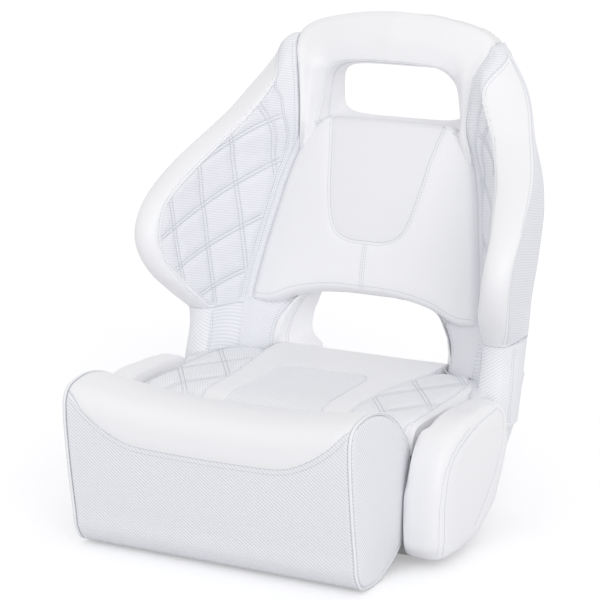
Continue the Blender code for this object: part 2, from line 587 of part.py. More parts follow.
def make_hinges():
    """Both hinges: fixed bracket, arm, bush, bolt, washer, nut and the screws that hold them."""
    bracket_in = BASE_HALF_WIDTH + FIT_GAP
    bracket_out = bracket_in + PLATE_THICKNESS
    arm_in = bracket_out + ARM_CLEARANCE
    arm_out = arm_in + PLATE_THICKNESS
    flange_face = BOLSTER_BOARD_FACE + FIT_GAP
    bush_outer = PIVOT_BOLT_RADIUS + FIT_GAP + BUSH_WALL
    bracket_foot = [(PIVOT_Y - BRACKET_HALF_WIDTH, BRACKET_FOOT_Z), (PIVOT_Y + BRACKET_HALF_WIDTH, BRACKET_FOOT_Z)]
    bracket_outline = eye_outline(bracket_foot, math.radians(-20), math.radians(200))
    web_y = flange_face + PLATE_THICKNESS / 2
    arm_foot = [(web_y, FLANGE_HIGH - FLANGE_STEP), (web_y, FLANGE_LOW + FLANGE_STEP)]
    arm_outline = eye_outline(arm_foot, math.radians(-75), math.radians(150))
    for side, name in side_names("hinge_bracket"):
        bracket = side_plate(name, bracket_outline, side * bracket_in, side * bracket_out, STAINLESS)
        middle = side * (bracket_in + bracket_out) / 2
        combine(bracket, cylinder(name + "_bore", (middle, PIVOT_Y, PIVOT_Z), (1, 0, 0), PIVOT_BOLT_RADIUS + FIT_GAP,
                                  OVERRUN, None, cutter=True))
        for k, y in enumerate(screw_places(PIVOT_Y, BRACKET_SCREW_SPACING)):
            place = (middle, y, BRACKET_FOOT_Z + BRACKET_SCREW_DROP)
            combine(bracket, cylinder(name + "_hole_%d" % (k + 1), place, (1, 0, 0), SCREW_RADIUS + FIT_GAP, OVERRUN,
                                      None, cutter=True))
            make_screw(("bracket_screw_right_%d" if side > 0 else "bracket_screw_left_%d") % (k + 1),
                       (side * (bracket_out + FIT_GAP), y, place[2]), (side, 0, 0), False)
    for side, name in side_names("bolster_arm"):
        arm = side_plate(name, arm_outline, side * arm_in, side * arm_out, STAINLESS, moving=True)
        flange_out = arm_out - FLANGE_STEP
        flange_low = (min(side * FLANGE_INNER_X, side * flange_out), flange_face, FLANGE_LOW)
        flange_high = (max(side * FLANGE_INNER_X, side * flange_out), flange_face + PLATE_THICKNESS, FLANGE_HIGH)
        combine(arm, box(name + "_flange", flange_low, flange_high, None, cutter=True), "UNION")
        combine(arm, cylinder(name + "_bore", (side * arm_in, PIVOT_Y, PIVOT_Z), (1, 0, 0), bush_outer + FIT_GAP, OVERRUN,
                              None, cutter=True))
        for k, z in enumerate(screw_places((FLANGE_LOW + FLANGE_HIGH) / 2, FLANGE_SCREW_SPACING)):
            hole = (side * FLANGE_SCREW_X, flange_face, z)
            tool = cylinder(name + "_hole_%d" % (k + 1), hole, (0, 1, 0), SCREW_RADIUS + FIT_GAP, SCREW_LENGTH * 2, None,
                            cutter=True)
            combine(arm, tool)
            combine(bpy.data.objects["bolster_board"], tool)
            head = (side * FLANGE_SCREW_X, flange_face + PLATE_THICKNESS + FIT_GAP, z)
            make_screw(("arm_screw_right_%d" if side > 0 else "arm_screw_left_%d") % (k + 1), head, (0, 1, 0), True)
    for side, name in side_names("pivot_bush"):
        inner = PIVOT_BOLT_RADIUS + FIT_GAP
        start = ARM_CLEARANCE / 2 - BUSH_FLANGE_THICKNESS / 2
        end = ARM_CLEARANCE + PLATE_THICKNESS + FIT_GAP
        profile = [(inner, end), (bush_outer, end), (bush_outer, start + BUSH_FLANGE_THICKNESS),
                   (BUSH_FLANGE_RADIUS, start + BUSH_FLANGE_THICKNESS), (BUSH_FLANGE_RADIUS, start), (inner, start)]
        turned(name, profile, (side * bracket_out, PIVOT_Y, PIVOT_Z), (side, 0, 0), NYLON, moving=True)
    washer_start = ARM_CLEARANCE + PLATE_THICKNESS + FIT_GAP * 2
    head_start = washer_start + WASHER_THICKNESS + FIT_GAP
    for side, name in side_names("pivot_washer"):
        inner = PIVOT_BOLT_RADIUS + FIT_GAP
        top = washer_start + WASHER_THICKNESS
        profile = [(inner, top), (WASHER_RADIUS, top), (WASHER_RADIUS, washer_start), (inner, washer_start)]
        turned(name, profile, (side * bracket_out, PIVOT_Y, PIVOT_Z), (side, 0, 0), STAINLESS)
    nut_face = PLATE_THICKNESS + FIT_GAP
    shank_end = -(nut_face + NUT_THICKNESS)
    for side, name in side_names("pivot_bolt"):
        top = head_start + BOLT_HEAD_THICKNESS
        rim = BOLT_HEAD_RADIUS * BOLT_RIM_SHARE
        profile = [(0, top), (rim, top), (BOLT_HEAD_RADIUS, head_start + BOLT_HEAD_THICKNESS / 2),
                   (BOLT_HEAD_RADIUS, head_start), (PIVOT_BOLT_RADIUS, head_start), (PIVOT_BOLT_RADIUS, shank_end),
                   (0, shank_end)]
        turned(name, profile, (side * bracket_out, PIVOT_Y, PIVOT_Z), (side, 0, 0), STAINLESS)
    for side, name in side_names("pivot_nut"):
        middle = side * (bracket_in - FIT_GAP - NUT_THICKNESS / 2)
        nut = cylinder(name, (middle, PIVOT_Y, PIVOT_Z), (1, 0, 0), NUT_RADIUS, NUT_THICKNESS, STAINLESS, sides=6)
        combine(nut, cylinder(name + "_bore", (middle, PIVOT_Y, PIVOT_Z), (1, 0, 0), PIVOT_BOLT_RADIUS + FIT_GAP, OVERRUN,
                              None, cutter=True))


def screw_places(middle, spacing):
    """Two places either side of a middle."""
    return (middle - spacing / 2, middle + spacing / 2)


def make_screw(name, seat, out, moving):
    """A pan-head screw whose head sits at the seat point and whose shank runs in from it."""
    rim = SCREW_HEAD_RADIUS * SCREW_RIM_SHARE
    profile = [(0, SCREW_HEAD_THICKNESS), (rim, SCREW_HEAD_THICKNESS), (SCREW_HEAD_RADIUS, SCREW_HEAD_THICKNESS / 2),
               (SCREW_HEAD_RADIUS, 0), (SCREW_RADIUS, 0), (SCREW_RADIUS, -SCREW_LENGTH), (0, -SCREW_LENGTH)]
    return turned(name, profile, seat, out, STAINLESS, moving=moving)


def base_place(depth_share, height_share):
    """A side view place from shares of the pan's depth and the deck height."""
    return (BASE_FRONT + depth_share * PAN_DEPTH, height_share * BASE_DECK)


def make_base():
    """The moulded pan with its insert plate and inserts, the seat board, covers, boards and bumpers."""
    outline = [base_place(*shares) for shares in PAN_OUTLINE_SHARES]
    pan = side_plate("base_pan", outline, -BASE_HALF_WIDTH, BASE_HALF_WIDTH, MOULDED_PLASTIC)
    hollow = inset(outline, BASE_WALL)
    top = BASE_DECK + OVERRUN
    hollow[-2] = (hollow[-2][0], top)
    hollow[-1] = (hollow[-1][0], top)
    inner_x = BASE_HALF_WIDTH - BASE_WALL
    combine(pan, side_plate("pan_hollow", hollow, -inner_x, inner_x, None, cutter=True))
    plate_low = BASE_WALL + FIT_GAP
    plate_high = plate_low + INSERT_PLATE_THICKNESS
    plate_room = BASE_WALL + INSERT_PLATE_CLEARANCE
    plate_front = BASE_FRONT + plate_room
    plate_rear = BASE_FRONT + PAN_FLOOR_SHARE * PAN_DEPTH - plate_room
    half = INSERT_SPACING / 2
    reach = half + INSERT_PLATE_EDGE
    plate = box("insert_plate", (-reach, plate_front, plate_low), (reach, plate_rear, plate_high), STAINLESS)
    flange_low = plate_high + FIT_GAP
    number = 0
    for x in (-half, half):
        for y in (-half, half):
            number += 1
            tool = cylinder("insert_hole_%d" % number, (x, y, 0), (0, 0, 1), INSERT_BARREL_RADIUS + FIT_GAP, OVERRUN * 2,
                            None, cutter=True)
            combine(pan, tool)
            combine(plate, tool)
            top = flange_low + INSERT_FLANGE_THICKNESS
            profile = [(INSERT_BORE_RADIUS, top), (INSERT_FLANGE_RADIUS, top), (INSERT_FLANGE_RADIUS, flange_low),
                       (INSERT_BARREL_RADIUS, flange_low), (INSERT_BARREL_RADIUS, BASE_WALL / 4),
                       (INSERT_BORE_RADIUS, BASE_WALL / 4)]
            turned("threaded_insert_%d" % number, profile, (x, y, 0), (0, 0, 1), STAINLESS)
    board_low = BASE_DECK + FIT_GAP
    board_rear = BASE_FRONT + PAN_DEPTH
    box("seat_board", (-BASE_HALF_WIDTH, BASE_FRONT, board_low), (BASE_HALF_WIDTH, board_rear, board_low + BOARD_THICKNESS),
        BOARD)
    make_base_rear_cover(board_low + BOARD_THICKNESS)
    for side, name in side_names("hip_board"):
        xs = sorted((side * (BASE_HALF_WIDTH + FIT_GAP), side * (HIP_INNER_X - FIT_GAP)))
        box(name, (xs[0], HIP_BOARD_FRONT, HIP_BOARD_LOW), (xs[1], HIP_BOARD_REAR, HIP_BOARD_HIGH), MOULDED_PLASTIC)
    for side, name in side_names("bolster_bumper"):
        length = BASE_FRONT - BOLSTER_BOARD_FACE - FIT_GAP * 2
        profile = [(0, length), (BUMPER_TIP_RADIUS, length), (BUMPER_RADIUS, length / 2), (BUMPER_RADIUS, 0), (0, 0)]
        turned(name, profile, (side * BUMPER_X, BASE_FRONT - FIT_GAP, BUMPER_Z), (0, -1, 0), RUBBER)
    bracket_out = BASE_HALF_WIDTH + FIT_GAP + PLATE_THICKNESS
    for side in (1, -1):
        for y in screw_places(PIVOT_Y, BRACKET_SCREW_SPACING):
            place = (side * bracket_out, y, BRACKET_FOOT_Z + BRACKET_SCREW_DROP)
            combine(pan, cylinder("pan_screw_hole", place, (1, 0, 0), SCREW_RADIUS + FIT_GAP, SCREW_LENGTH * 4, None,
                                  cutter=True))


def make_base_rear_cover(join_z):
    """The twill panel over the rear of the pan, from its foot to the top of the legs' feet."""
    outer = [base_place(*shares) for shares in BASE_REAR_SHARES]
    top = REAR_COVER_JOIN
    outer.append((rear_y(join_z), join_z))
    outer.append((rear_y(top), top))
    inner = []
    for k, (y, z) in enumerate(outer):
        before, after = outer[max(k - 1, 0)], outer[min(k + 1, len(outer) - 1)]
        along = Vector((after[0] - before[0], after[1] - before[1])).normalized()
        inner.append((y - along.y * REAR_COVER_THICKNESS, z + along.x * REAR_COVER_THICKNESS))
    inner[-1] = (inner[-1][0], top)
    inner[0] = (inner[0][0], max(inner[0][1], outer[0][1]))
    side_plate("base_rear_cover", outer + inner[::-1], -BASE_HALF_WIDTH, BASE_HALF_WIDTH, TWILL_VINYL)


def cushion_section(x, shares):
    """One side view section of the seat cushion."""
    _, setback, rear_share, height_share, bottom_share = shares
    floor = BASE_DECK + BOARD_THICKNESS + FIT_GAP * 2
    side_height = CUSHION_TOP - floor
    top = floor + height_share * side_height
    bottom = floor + bottom_share * side_height
    radius = min(WATERFALL_RADIUS, (top - bottom) * 0.75)
    front = PIVOT_Y - WATERFALL_RADIUS + setback * WATERFALL_RADIUS
    rear = rear_share * CUSHION_REAR
    points = [(front, bottom)]
    arc_steps = 4
    for k in range(arc_steps + 1):
        angle = math.pi / 2 * k / arc_steps
        points.append((front + radius - radius * math.cos(angle), top - radius + radius * math.sin(angle)))
    flat_start = front + radius
    corner = min(CUSHION_CORNER, (rear - flat_start) * CUSHION_CORNER_REST_SHARE)
    flat_end = rear - corner
    steps = 6
    middle = max(0.0, 1 - (x / CUSHION_HALF_WIDTH) ** 2)
    for k in range(1, steps):
        t = k / steps
        swell = (CUSHION_CROWN * math.sin(math.pi * t) - CUSHION_DIP * t * t) * middle
        points.append((flat_start + (flat_end - flat_start) * t, top + swell))
    drop = min(CUSHION_CORNER_DROP, (top - bottom) * 0.7)
    rear_top = top - CUSHION_DIP * middle
    for k in range(arc_steps + 1):
        angle = math.pi / 2 * k / arc_steps
        points.append((flat_end + corner * math.sin(angle), rear_top - drop * (1 - math.cos(angle))))
    points.append((rear - CUSHION_REAR_LEAN, bottom))
    return points


def make_cushion():
    """The seat cushion, with the waterfall front that the bolster turns round."""
    rows = CUSHION_SHARES
    stations = [(-row[0], row) for row in reversed(rows[1:])] + [(row[0], row) for row in rows]
    rings = []
    for place, row in stations:
        x = place * CUSHION_HALF_WIDTH
        rings.append([(x, y, z) for y, z in cushion_section(x, row)])
    cushion = loft("seat_cushion", rings, WHITE_VINYL)
    nut_room = NUT_RADIUS + EYE_RADIUS / 3
    inner = BASE_HALF_WIDTH - NUT_THICKNESS - FIT_GAP * 3
    for side, name in side_names("nut_notch"):
        xs = sorted((side * inner, side * (inner + OVERRUN)))
        low = (xs[0], PIVOT_Y - nut_room, PIVOT_Z - OVERRUN)
        high = (xs[1], PIVOT_Y + nut_room, PIVOT_Z + nut_room)
        combine(cushion, box(name, low, high, None, cutter=True))


def make_hip_pads():
    """The padded sides of the base, flat on the inside and crowned outside."""
    outline = [(HIP_FRONT + along * HIP_LENGTH, height * HIP_HEIGHT) for along, height in HIP_OUTLINE_SHARES]
    centre = (HIP_FRONT + HIP_LENGTH / 2, HIP_HEIGHT / 2)
    thickness = HIP_OUTER_X - HIP_INNER_X
    for side, name in side_names("hip_pad"):
        rings = []
        for depth, size in HIP_RING_SHARES:
            x = side * (HIP_INNER_X + depth * thickness)
            rings.append([(x, centre[0] + (y - centre[0]) * size, centre[1] + (z - centre[1]) * size) for y, z in outline])
        loft(name, rings, WHITE_VINYL)


def wing_ring(row, side, swell):
    """One level section of a wing or neck, from the root round the front roll to the rear."""
    z, root_x, root_y, in_x, in_y, out_x, out_y, rear_x, corner_y = row
    root, inner, outer, corner = Vector((root_x, root_y)), Vector((in_x, in_y)), Vector((out_x, out_y)), Vector((rear_x, corner_y))
    end = Vector((root_x, rear_y(z)))
    across = outer - inner
    ahead = Vector((across.y, -across.x)).normalized()
    fullness = read_table(ROLL_SHARES, z / SEAT_HEIGHT)
    bulge = min(fullness * ROLL_BULGE, across.length / 2)
    hollow = (inner - root).length * WING_HOLLOW_SHARE
    side_way = Vector(((inner - root).y, -(inner - root).x)).normalized()
    points = [root]
    points += [root.lerp(inner, t) - side_way * hollow * math.sin(math.pi * t) for t in (0.25, 0.5, 0.75)]
    points.append(inner)
    points += [inner.lerp(outer, 0.5 - 0.5 * math.cos(a)) + ahead * bulge * math.sin(a) ** (2 - fullness)
               for a in (math.pi * k / 6 for k in range(1, 6))]
    points.append(outer)
    points.append(outer.lerp(corner, 0.35) + Vector((swell, 0)))
    points.append(outer.lerp(corner, 0.7) + Vector((swell * 0.9, 0)))
    points.append(corner)
    points.append(Vector((corner.x * 0.62 + end.x * 0.38, corner.y * 0.35 + end.y * 0.65)))
    points.append(Vector((corner.x * 0.3 + end.x * 0.7, corner.y * 0.08 + end.y * 0.92)))
    points.append(end)
    return [(side * point.x, point.y, z) for point in points]


def wing_rows(shares):
    """Wing or neck stations as lengths, with one more between each two."""
    w, r = SEAT_HALF_WIDTH, BACK_REACH
    return blend_rows(scaled(shares, SEAT_HEIGHT, w, r, w, r, w, r, w, r), 2)


def make_wings():
    """The wings with their necks, and the twill sides of the base below them."""
    for side, name in side_names("wing_pad"):
        loft(name, [wing_ring(row, side, WING_SWELL) for row in wing_rows(WING_SHARES)], WHITE_VINYL)
    for side, name in side_names("neck_pad"):
        loft(name, [wing_ring(row, side, NECK_SWELL) for row in wing_rows(NECK_SHARES)], TWILL_VINYL)
    inner_x = BASE_HALF_WIDTH + FIT_GAP
    for side, name in side_names("base_side_cover"):
        rings = []
        for z, front, rear, out in scaled(SIDE_COVER_SHARES, SEAT_HEIGHT, BACK_REACH, BACK_REACH, SEAT_HALF_WIDTH):
            bend = (out - inner_x) / 3
            points = [(inner_x, front), (out - bend, front), (out, front + bend), (out, rear - bend),
                      (out - bend, rear), (inner_x, rear + bend)]
            rings.append([(side * x, y, z) for x, y in points])
        loft(name, rings, TWILL_VINYL)


def back_outline(gap):
    """The back shell's front view outline, a gap inside the wings' roots, from the foot of a leg."""
    foot = BASE_DECK + BOARD_THICKNESS + FIT_GAP * 2
    rows = [row for row in wing_rows(WING_SHARES) if row[0] < HEADREST_SHARES[6][4] * SEAT_HEIGHT]
    leg_x = rows[0][1] * POST_OUTER_SHARE - gap
    half = [(leg_x, foot), (leg_x, CUSHION_TOP)]
    half += [(row[1] - gap, row[0]) for row in rows]
    trim = gap + SHELL_TRIM
    half += [(x * SEAT_HALF_WIDTH - trim, z * SEAT_HEIGHT - trim) for _, _, _, x, z, _ in HEADREST_SHARES[6:-1]]
    return half + [(-x, z) for x, z in reversed(half)]


def handle_outline():
    """The handle hole in front view."""
    half = [(x * SEAT_HALF_WIDTH, z * SEAT_HEIGHT) for x, z in HANDLE_FOOT_SHARES]
    half += [(row[0] * SEAT_HALF_WIDTH, row[1] * SEAT_HEIGHT) for row in HEADREST_SHARES[3:-1]]
    return half + [(-x, z) for x, z in reversed(half)]


def opening_outline():
    """The lower opening in front view, run down past the feet of the legs."""
    half = [(LEG_INNER_HALF_WIDTH, 0.0), (LEG_INNER_HALF_WIDTH, CUSHION_TOP)]
    half += [(x * SEAT_HALF_WIDTH, z * SEAT_HEIGHT) for x, z in OPENING_SHARES]
    return half + [(-x, z) for x, z in reversed(half)]


def flared(half_width, y):
    """A half width of the lower opening at a depth: wider to the front, where its walls round off."""
    return half_width + max(0.0, OPENING_FLARE_Y - y) * OPENING_FLARE_SHARE


def opening_cutter():
    """The lower opening as a block that flares to the front."""
    rings = []
    for y in (BACK_FOOT_Y, OPENING_FLARE_Y, BACK_REACH):
        rings.append([(math.copysign(flared(abs(x), y), x), y, z) for x, z in opening_outline()])
    return loft("opening_cut", rings, None, cutter=True)


def make_back():
    """The moulded back shell with its rear cover, both with the handle hole and the lower opening."""
    foot = BASE_DECK + BOARD_THICKNESS + FIT_GAP * 2
    top = SEAT_HEIGHT
    steps = 14
    join = REAR_COVER_JOIN + FIT_GAP
    heights = [foot] + [join + (top - join) * k / steps for k in range(steps + 1)]
    shell_rear = REAR_COVER_THICKNESS + FIT_GAP
    slope_end = CUSHION_TOP + (HEADREST_BACK_Y - pad_back_y(CUSHION_TOP)) / math.tan(RECLINE)
    front = [(pad_back_y(z) + FIT_GAP, z) for z in (foot, slope_end, top)]
    back = [(rear_y(z) - shell_rear, z) for z in heights]
    outline_depth = BACK_REACH
    shell = side_plate("back_shell", front + back[::-1], -SEAT_HALF_WIDTH, SEAT_HALF_WIDTH, MOULDED_PLASTIC)
    inside = [(rear_y(z) - REAR_COVER_THICKNESS, z) for z in heights[1:]]
    outside = [(rear_y(z), z) for z in heights[1:]]
    cover = side_plate("rear_cover", inside + outside[::-1], -SEAT_HALF_WIDTH, SEAT_HALF_WIDTH, TWILL_VINYL)
    stand = Matrix.Translation((0, outline_depth / 2, 0)) @ FRONT_VIEW
    keep = flat_outline("back_outline", [back_outline(FIT_GAP * 2)], outline_depth, stand, None, cutter=True)
    holes = [
        flat_outline("handle_cut", [handle_outline()], outline_depth, stand, None, cutter=True),
        opening_cutter(),
    ]
    for thing in (shell, cover):
        combine(thing, keep, "INTERSECT")
        for hole in holes:
            combine(thing, hole)


def back_place(x, up, out):
    """A place on the reclined back: across, up the recline, and out behind its front plane."""
    return (x, BACK_FOOT_Y + up * math.sin(RECLINE) + out * math.cos(RECLINE),
            CUSHION_TOP + up * math.cos(RECLINE) - out * math.sin(RECLINE))


def make_lumbar():
    """The lumbar pad: crowned, drawn in at its sides and arched over the lower opening."""
    width_rows = blend_rows(LUMBAR_WIDTH_SHARES, 3)
    across_shares = (-1.0, -0.97, -0.85, -0.6, -0.3, 0.0, 0.3, 0.6, 0.85, 0.97, 1.0)
    edge_shares = (1.0, 0.35, 0.06, 0.0, 0.0, 0.0, 0.0, 0.0, 0.06, 0.35, 1.0)
    up_shares = (0.0, 0.012, 0.05, 0.15, 0.32, 0.5, 0.68, 0.82, 0.92, 0.98, 1.0)
    end_shares = (1.0, 0.35, 0.08, 0.0, 0.0, 0.0, 0.0, 0.0, 0.06, 0.35, 1.0)
    rings = []
    for up_share, end_share in zip(up_shares, end_shares):
        half_width = read_table(width_rows, up_share) * LUMBAR_HALF_WIDTH
        front, back = [], []
        for across, edge in zip(across_shares, edge_shares):
            arch = LUMBAR_ARCH * max(0.0, 1 - (abs(across) / 0.72) ** 3) ** 0.6
            low = LUMBAR_LOW + arch
            up = low + (LUMBAR_LOW + LUMBAR_HEIGHT - low) * up_share
            crown = LUMBAR_CROWN * (1 - across ** 2) * math.sin(math.pi * (0.15 + 0.7 * up_share))
            sink = LUMBAR_EDGE * max(edge, end_share)
            front.append(back_place(across * half_width, up, sink - crown))
            back.append(back_place(across * half_width, up, PAD_THICKNESS))
        rings.append(front + back[::-1])
    loft("lumbar_pad", rings, WHITE_VINYL, folded=True)


def make_posts():
    """The twill pads on the legs at both sides of the lower opening."""
    outer_x = WING_SHARES[0][1] * SEAT_HALF_WIDTH * POST_OUTER_SHARE
    widths = [(z * SEAT_HEIGHT, x * SEAT_HALF_WIDTH) for x, z in OPENING_SHARES[:3]]
    depth = PAD_THICKNESS - FIT_GAP
    for side, name in side_names("post_pad"):
        rings = []
        for share in (0.0, 0.08, 0.5, 1.0):
            up = POST_LOW + (POST_HIGH - POST_LOW) * share
            place = back_place(0.0, up, POST_SLANT)
            inner_x = flared(read_table(widths, place[2]), place[1])
            span = outer_x - inner_x
            front = [(outer_x - span * across, POST_SLANT * sink) for across, sink in POST_SECTION_SHARES]
            points = front + [(inner_x, depth), (outer_x, depth)]
            rings.append([back_place(side * x, up, out) for x, out in points])
        loft(name, rings, TWILL_VINYL)


def make_headrest():
    """The headrest arch round the handle hole."""
    sizes = (SEAT_HALF_WIDTH, SEAT_HEIGHT, BACK_REACH) * 2
    half = blend_rows(scaled(HEADREST_SHARES, *sizes), 2)
    rows = [(side, row) for side, row in [(1, row) for row in half]]
    rows += [(-1, row) for row in reversed(half[:-1])]
    rings = []
    for side, (in_x, in_z, in_y, out_x, out_z, out_y) in rows:
        inner, outer = Vector((in_x, in_y, in_z)), Vector((out_x - FIT_GAP * 2, out_y, out_z))
        section = [(0.0, HEADREST_EDGE), (0.06, HEADREST_EDGE * 0.3), (0.22, 0.0), (0.5, -HEADREST_CROWN), (0.78, 0.0),
                   (0.94, HEADREST_EDGE * 0.3), (1.0, HEADREST_EDGE)]
        ring = []
        for share, sink in section:
            place = inner.lerp(outer, share)
            ring.append((side * place.x, place.y + sink, place.z))
        for place in (outer, inner):
            ring.append((side * place.x, pad_back_y(place.z), place.z))
        rings.append(ring)
    loft("headrest_pad", rings, WHITE_VINYL)


make_bolster()
make_hinges()
make_base()
make_cushion()
make_hip_pads()
make_wings()
make_back()
make_lumbar()
make_posts()
make_headrest()
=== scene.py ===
import logging
import math
from dataclasses import dataclass, field
from enum import Enum
from typing import Sequence

import bmesh
import bpy
import numpy as np
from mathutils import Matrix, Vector
from mathutils.bvhtree import BVHTree


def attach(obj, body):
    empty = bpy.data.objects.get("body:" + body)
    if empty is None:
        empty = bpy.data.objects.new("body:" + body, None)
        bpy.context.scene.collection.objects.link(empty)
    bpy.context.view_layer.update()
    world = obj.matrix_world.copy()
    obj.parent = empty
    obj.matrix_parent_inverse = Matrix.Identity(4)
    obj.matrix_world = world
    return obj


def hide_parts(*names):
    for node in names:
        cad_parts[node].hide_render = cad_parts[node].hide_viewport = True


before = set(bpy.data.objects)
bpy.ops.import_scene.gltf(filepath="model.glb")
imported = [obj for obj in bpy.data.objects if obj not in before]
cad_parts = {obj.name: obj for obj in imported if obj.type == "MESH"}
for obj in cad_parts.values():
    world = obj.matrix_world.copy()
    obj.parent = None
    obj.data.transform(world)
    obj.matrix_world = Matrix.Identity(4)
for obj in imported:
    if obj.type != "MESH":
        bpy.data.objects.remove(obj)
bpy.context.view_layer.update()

LOG = logging.getLogger("helm_bucket_seat")
MM = 0.001
# The seat's two sides: the sign of x and the word in node names
SIDES = ((1, "right"), (-1, "left"))
# The attribute panel on a cover that is smooth, or ribbed, all over
SMOOTH_ALL = -0.01
RIBBED_ALL = 0.01
# Faces that meet at more than this are not shaded smooth
SHARP_ANGLE = math.radians(42)


# Curves and tables


def catmull(before: float, here: float, after: float, beyond: float, t: float) -> float:
    """Reads the smooth curve through four numbers.

    Args:
        before, here, after, beyond: the four numbers in order.
        t: how far along from the second to the third, from 0 to 1.

    Returns:
        The number on the curve.
    """
    bend = 2 * before - 5 * here + 4 * after - beyond
    twist = 3 * (here - after) + beyond - before
    return here + 0.5 * t * (after - before + t * (bend + t * twist))


def blend_rows(rows: Sequence[Sequence[float]], steps: int) -> list[list[float]]:
    """Fills in rows of numbers along a smooth curve.

    Args:
        rows: rows of equal length.
        steps: how many steps there are between each two rows.

    Returns:
        The rows with the new ones between them.
    """
    last = len(rows) - 1
    blended = []
    for i in range(last):
        around = rows[max(i - 1, 0)], rows[i], rows[i + 1], rows[min(i + 2, last)]
        for k in range(steps):
            blended.append([catmull(*values, k / steps) for values in zip(*around)])
    blended.append(list(rows[last]))
    return blended


def read_table(rows: Sequence[Sequence[float]], place: float) -> float:
    """Reads the second column of a table at a place in its first, straight between rows.

    Args:
        rows: the table, its first column rising.
        place: where to read it.

    Returns:
        The number there.
    """
    return float(np.interp(place, [row[0] for row in rows], [row[1] for row in rows]))


def scaled(rows: Sequence[Sequence[float]], *sizes: float) -> list[list[float]]:
    """Turns a table of shares into lengths, each column by its own size.

    Args:
        rows: the table of shares.
        sizes: one size for each column.

    Returns:
        The table of lengths.
    """
    return [[share * size for share, size in zip(row, sizes)] for row in rows]


def ease(values: np.ndarray, low: float, high: float) -> np.ndarray:
    """Rises smoothly from 0 at low to 1 at high.

    Args:
        values: the numbers to read it at.
        low, high: where the rise starts and ends.

    Returns:
        Numbers from 0 to 1.
    """
    t = np.clip((values - low) / (high - low), 0, 1)
    return t * t * (3 - 2 * t)


def flow(
    points: np.ndarray, steps: Sequence[int], corners: Sequence[int] = (), closed: bool = False
) -> np.ndarray:
    """Draws smooth curves through columns of points, sharp at the named corners.

    Args:
        points: an array of rows, columns and xyz.
        steps: the steps in each span between two columns.
        corners: the columns where the curve may bend sharply.
        closed: whether the last column runs on to the first.

    Returns:
        The array with more columns.
    """
    count = points.shape[1]

    def at(k: int) -> np.ndarray:
        """The points of a column."""
        return points[:, k % count] if closed else points[:, min(max(k, 0), count - 1)]

    def gap(k: int) -> np.ndarray:
        """The distances from a column to the next, never quite nought."""
        return np.linalg.norm(at(k + 1) - at(k), axis=1, keepdims=True) + 1e-9

    def slope(k: int, ending: bool) -> np.ndarray:
        """The curve's direction at a column, where a span ends or starts there.

        Args:
            k: the column.
            ending: whether a span ends there, and not starts.

        Returns:
            The direction of each row.
        """
        outer = not closed and k in (0, count - 1)
        if outer or k % count in corners:
            j = k - 1 if ending else k
            return (at(j + 1) - at(j)) / gap(j)
        before, after = gap(k - 1), gap(k)
        behind, ahead = (at(k) - at(k - 1)) / before, (at(k + 1) - at(k)) / after
        return (ahead * before + behind * after) / (before + after)

    pieces = []
    for k in range(count if closed else count - 1):
        t = (np.arange(steps[k]) / steps[k])[None, :, None]
        length = gap(k)[:, None]
        start, end = slope(k, False)[:, None] * length, slope(k + 1, True)[:, None] * length
        pieces.append(
            at(k)[:, None] * (2 * t**3 - 3 * t**2 + 1) + start * (t**3 - 2 * t**2 + t)
            + at(k + 1)[:, None] * (3 * t**2 - 2 * t**3) + end * (t**3 - t**2)
        )
    if not closed:
        pieces.append(at(count - 1)[:, None])
    return np.concatenate(pieces, axis=1)


def even_steps(points: np.ndarray, spacing: float, closed: bool = False) -> list[int]:
    """Counts the steps that each span of columns needs for an even spacing.

    Args:
        points: an array of rows, columns and xyz.
        spacing: the length of a step in metres.
        closed: whether the last column runs on to the first.

    Returns:
        The steps in each span.
    """
    after = np.roll(points, -1, axis=1) if closed else points[:, 1:]
    here = points if closed else points[:, :-1]
    return [max(1, round(float(gap) / spacing)) for gap in np.linalg.norm(after - here, axis=2).mean(axis=0)]


def even_rings(rough: np.ndarray, spacing: float, corners: Sequence[int] = ()) -> np.ndarray:
    """Draws each closed ring smoothly through its points, with new points at an even spacing.

    Args:
        rough: the rings.
        spacing: the length of a step.
        corners: the columns where the ring may bend sharply.

    Returns:
        The finer rings.
    """
    return flow(rough, even_steps(rough, spacing, True), corners, True)


def loft_rows(points: np.ndarray, spacing: float, corners: Sequence[int] = ()) -> np.ndarray:
    """Adds rings between rings at an even spacing.

    Args:
        points: rings of points.
        spacing: the length of a step between rings.
        corners: the rings where the surface may bend sharply.

    Returns:
        The rings with the new ones.
    """
    turned = np.swapaxes(points, 0, 1)
    return np.swapaxes(flow(turned, even_steps(turned, spacing), corners), 0, 1)


def curve_through(points: Sequence[Sequence[float]], spacing: float = 2 * MM) -> np.ndarray:
    """Draws one smooth curve through places.

    Args:
        points: the places, in metres.
        spacing: the length of a step.

    Returns:
        Places along the curve.
    """
    row = np.array([points], float)
    return flow(row, even_steps(row, spacing))[0]


def unit(vectors: np.ndarray) -> np.ndarray:
    """Scales vectors to a length of one."""
    return vectors / (np.linalg.norm(vectors, axis=-1, keepdims=True) + 1e-12)


def run_along(rows: np.ndarray) -> np.ndarray:
    """Measures the length from the first point of each row to all its points."""
    steps = np.linalg.norm(np.diff(rows, axis=1), axis=2)
    return np.concatenate([np.zeros((len(rows), 1)), np.cumsum(steps, axis=1)], axis=1)


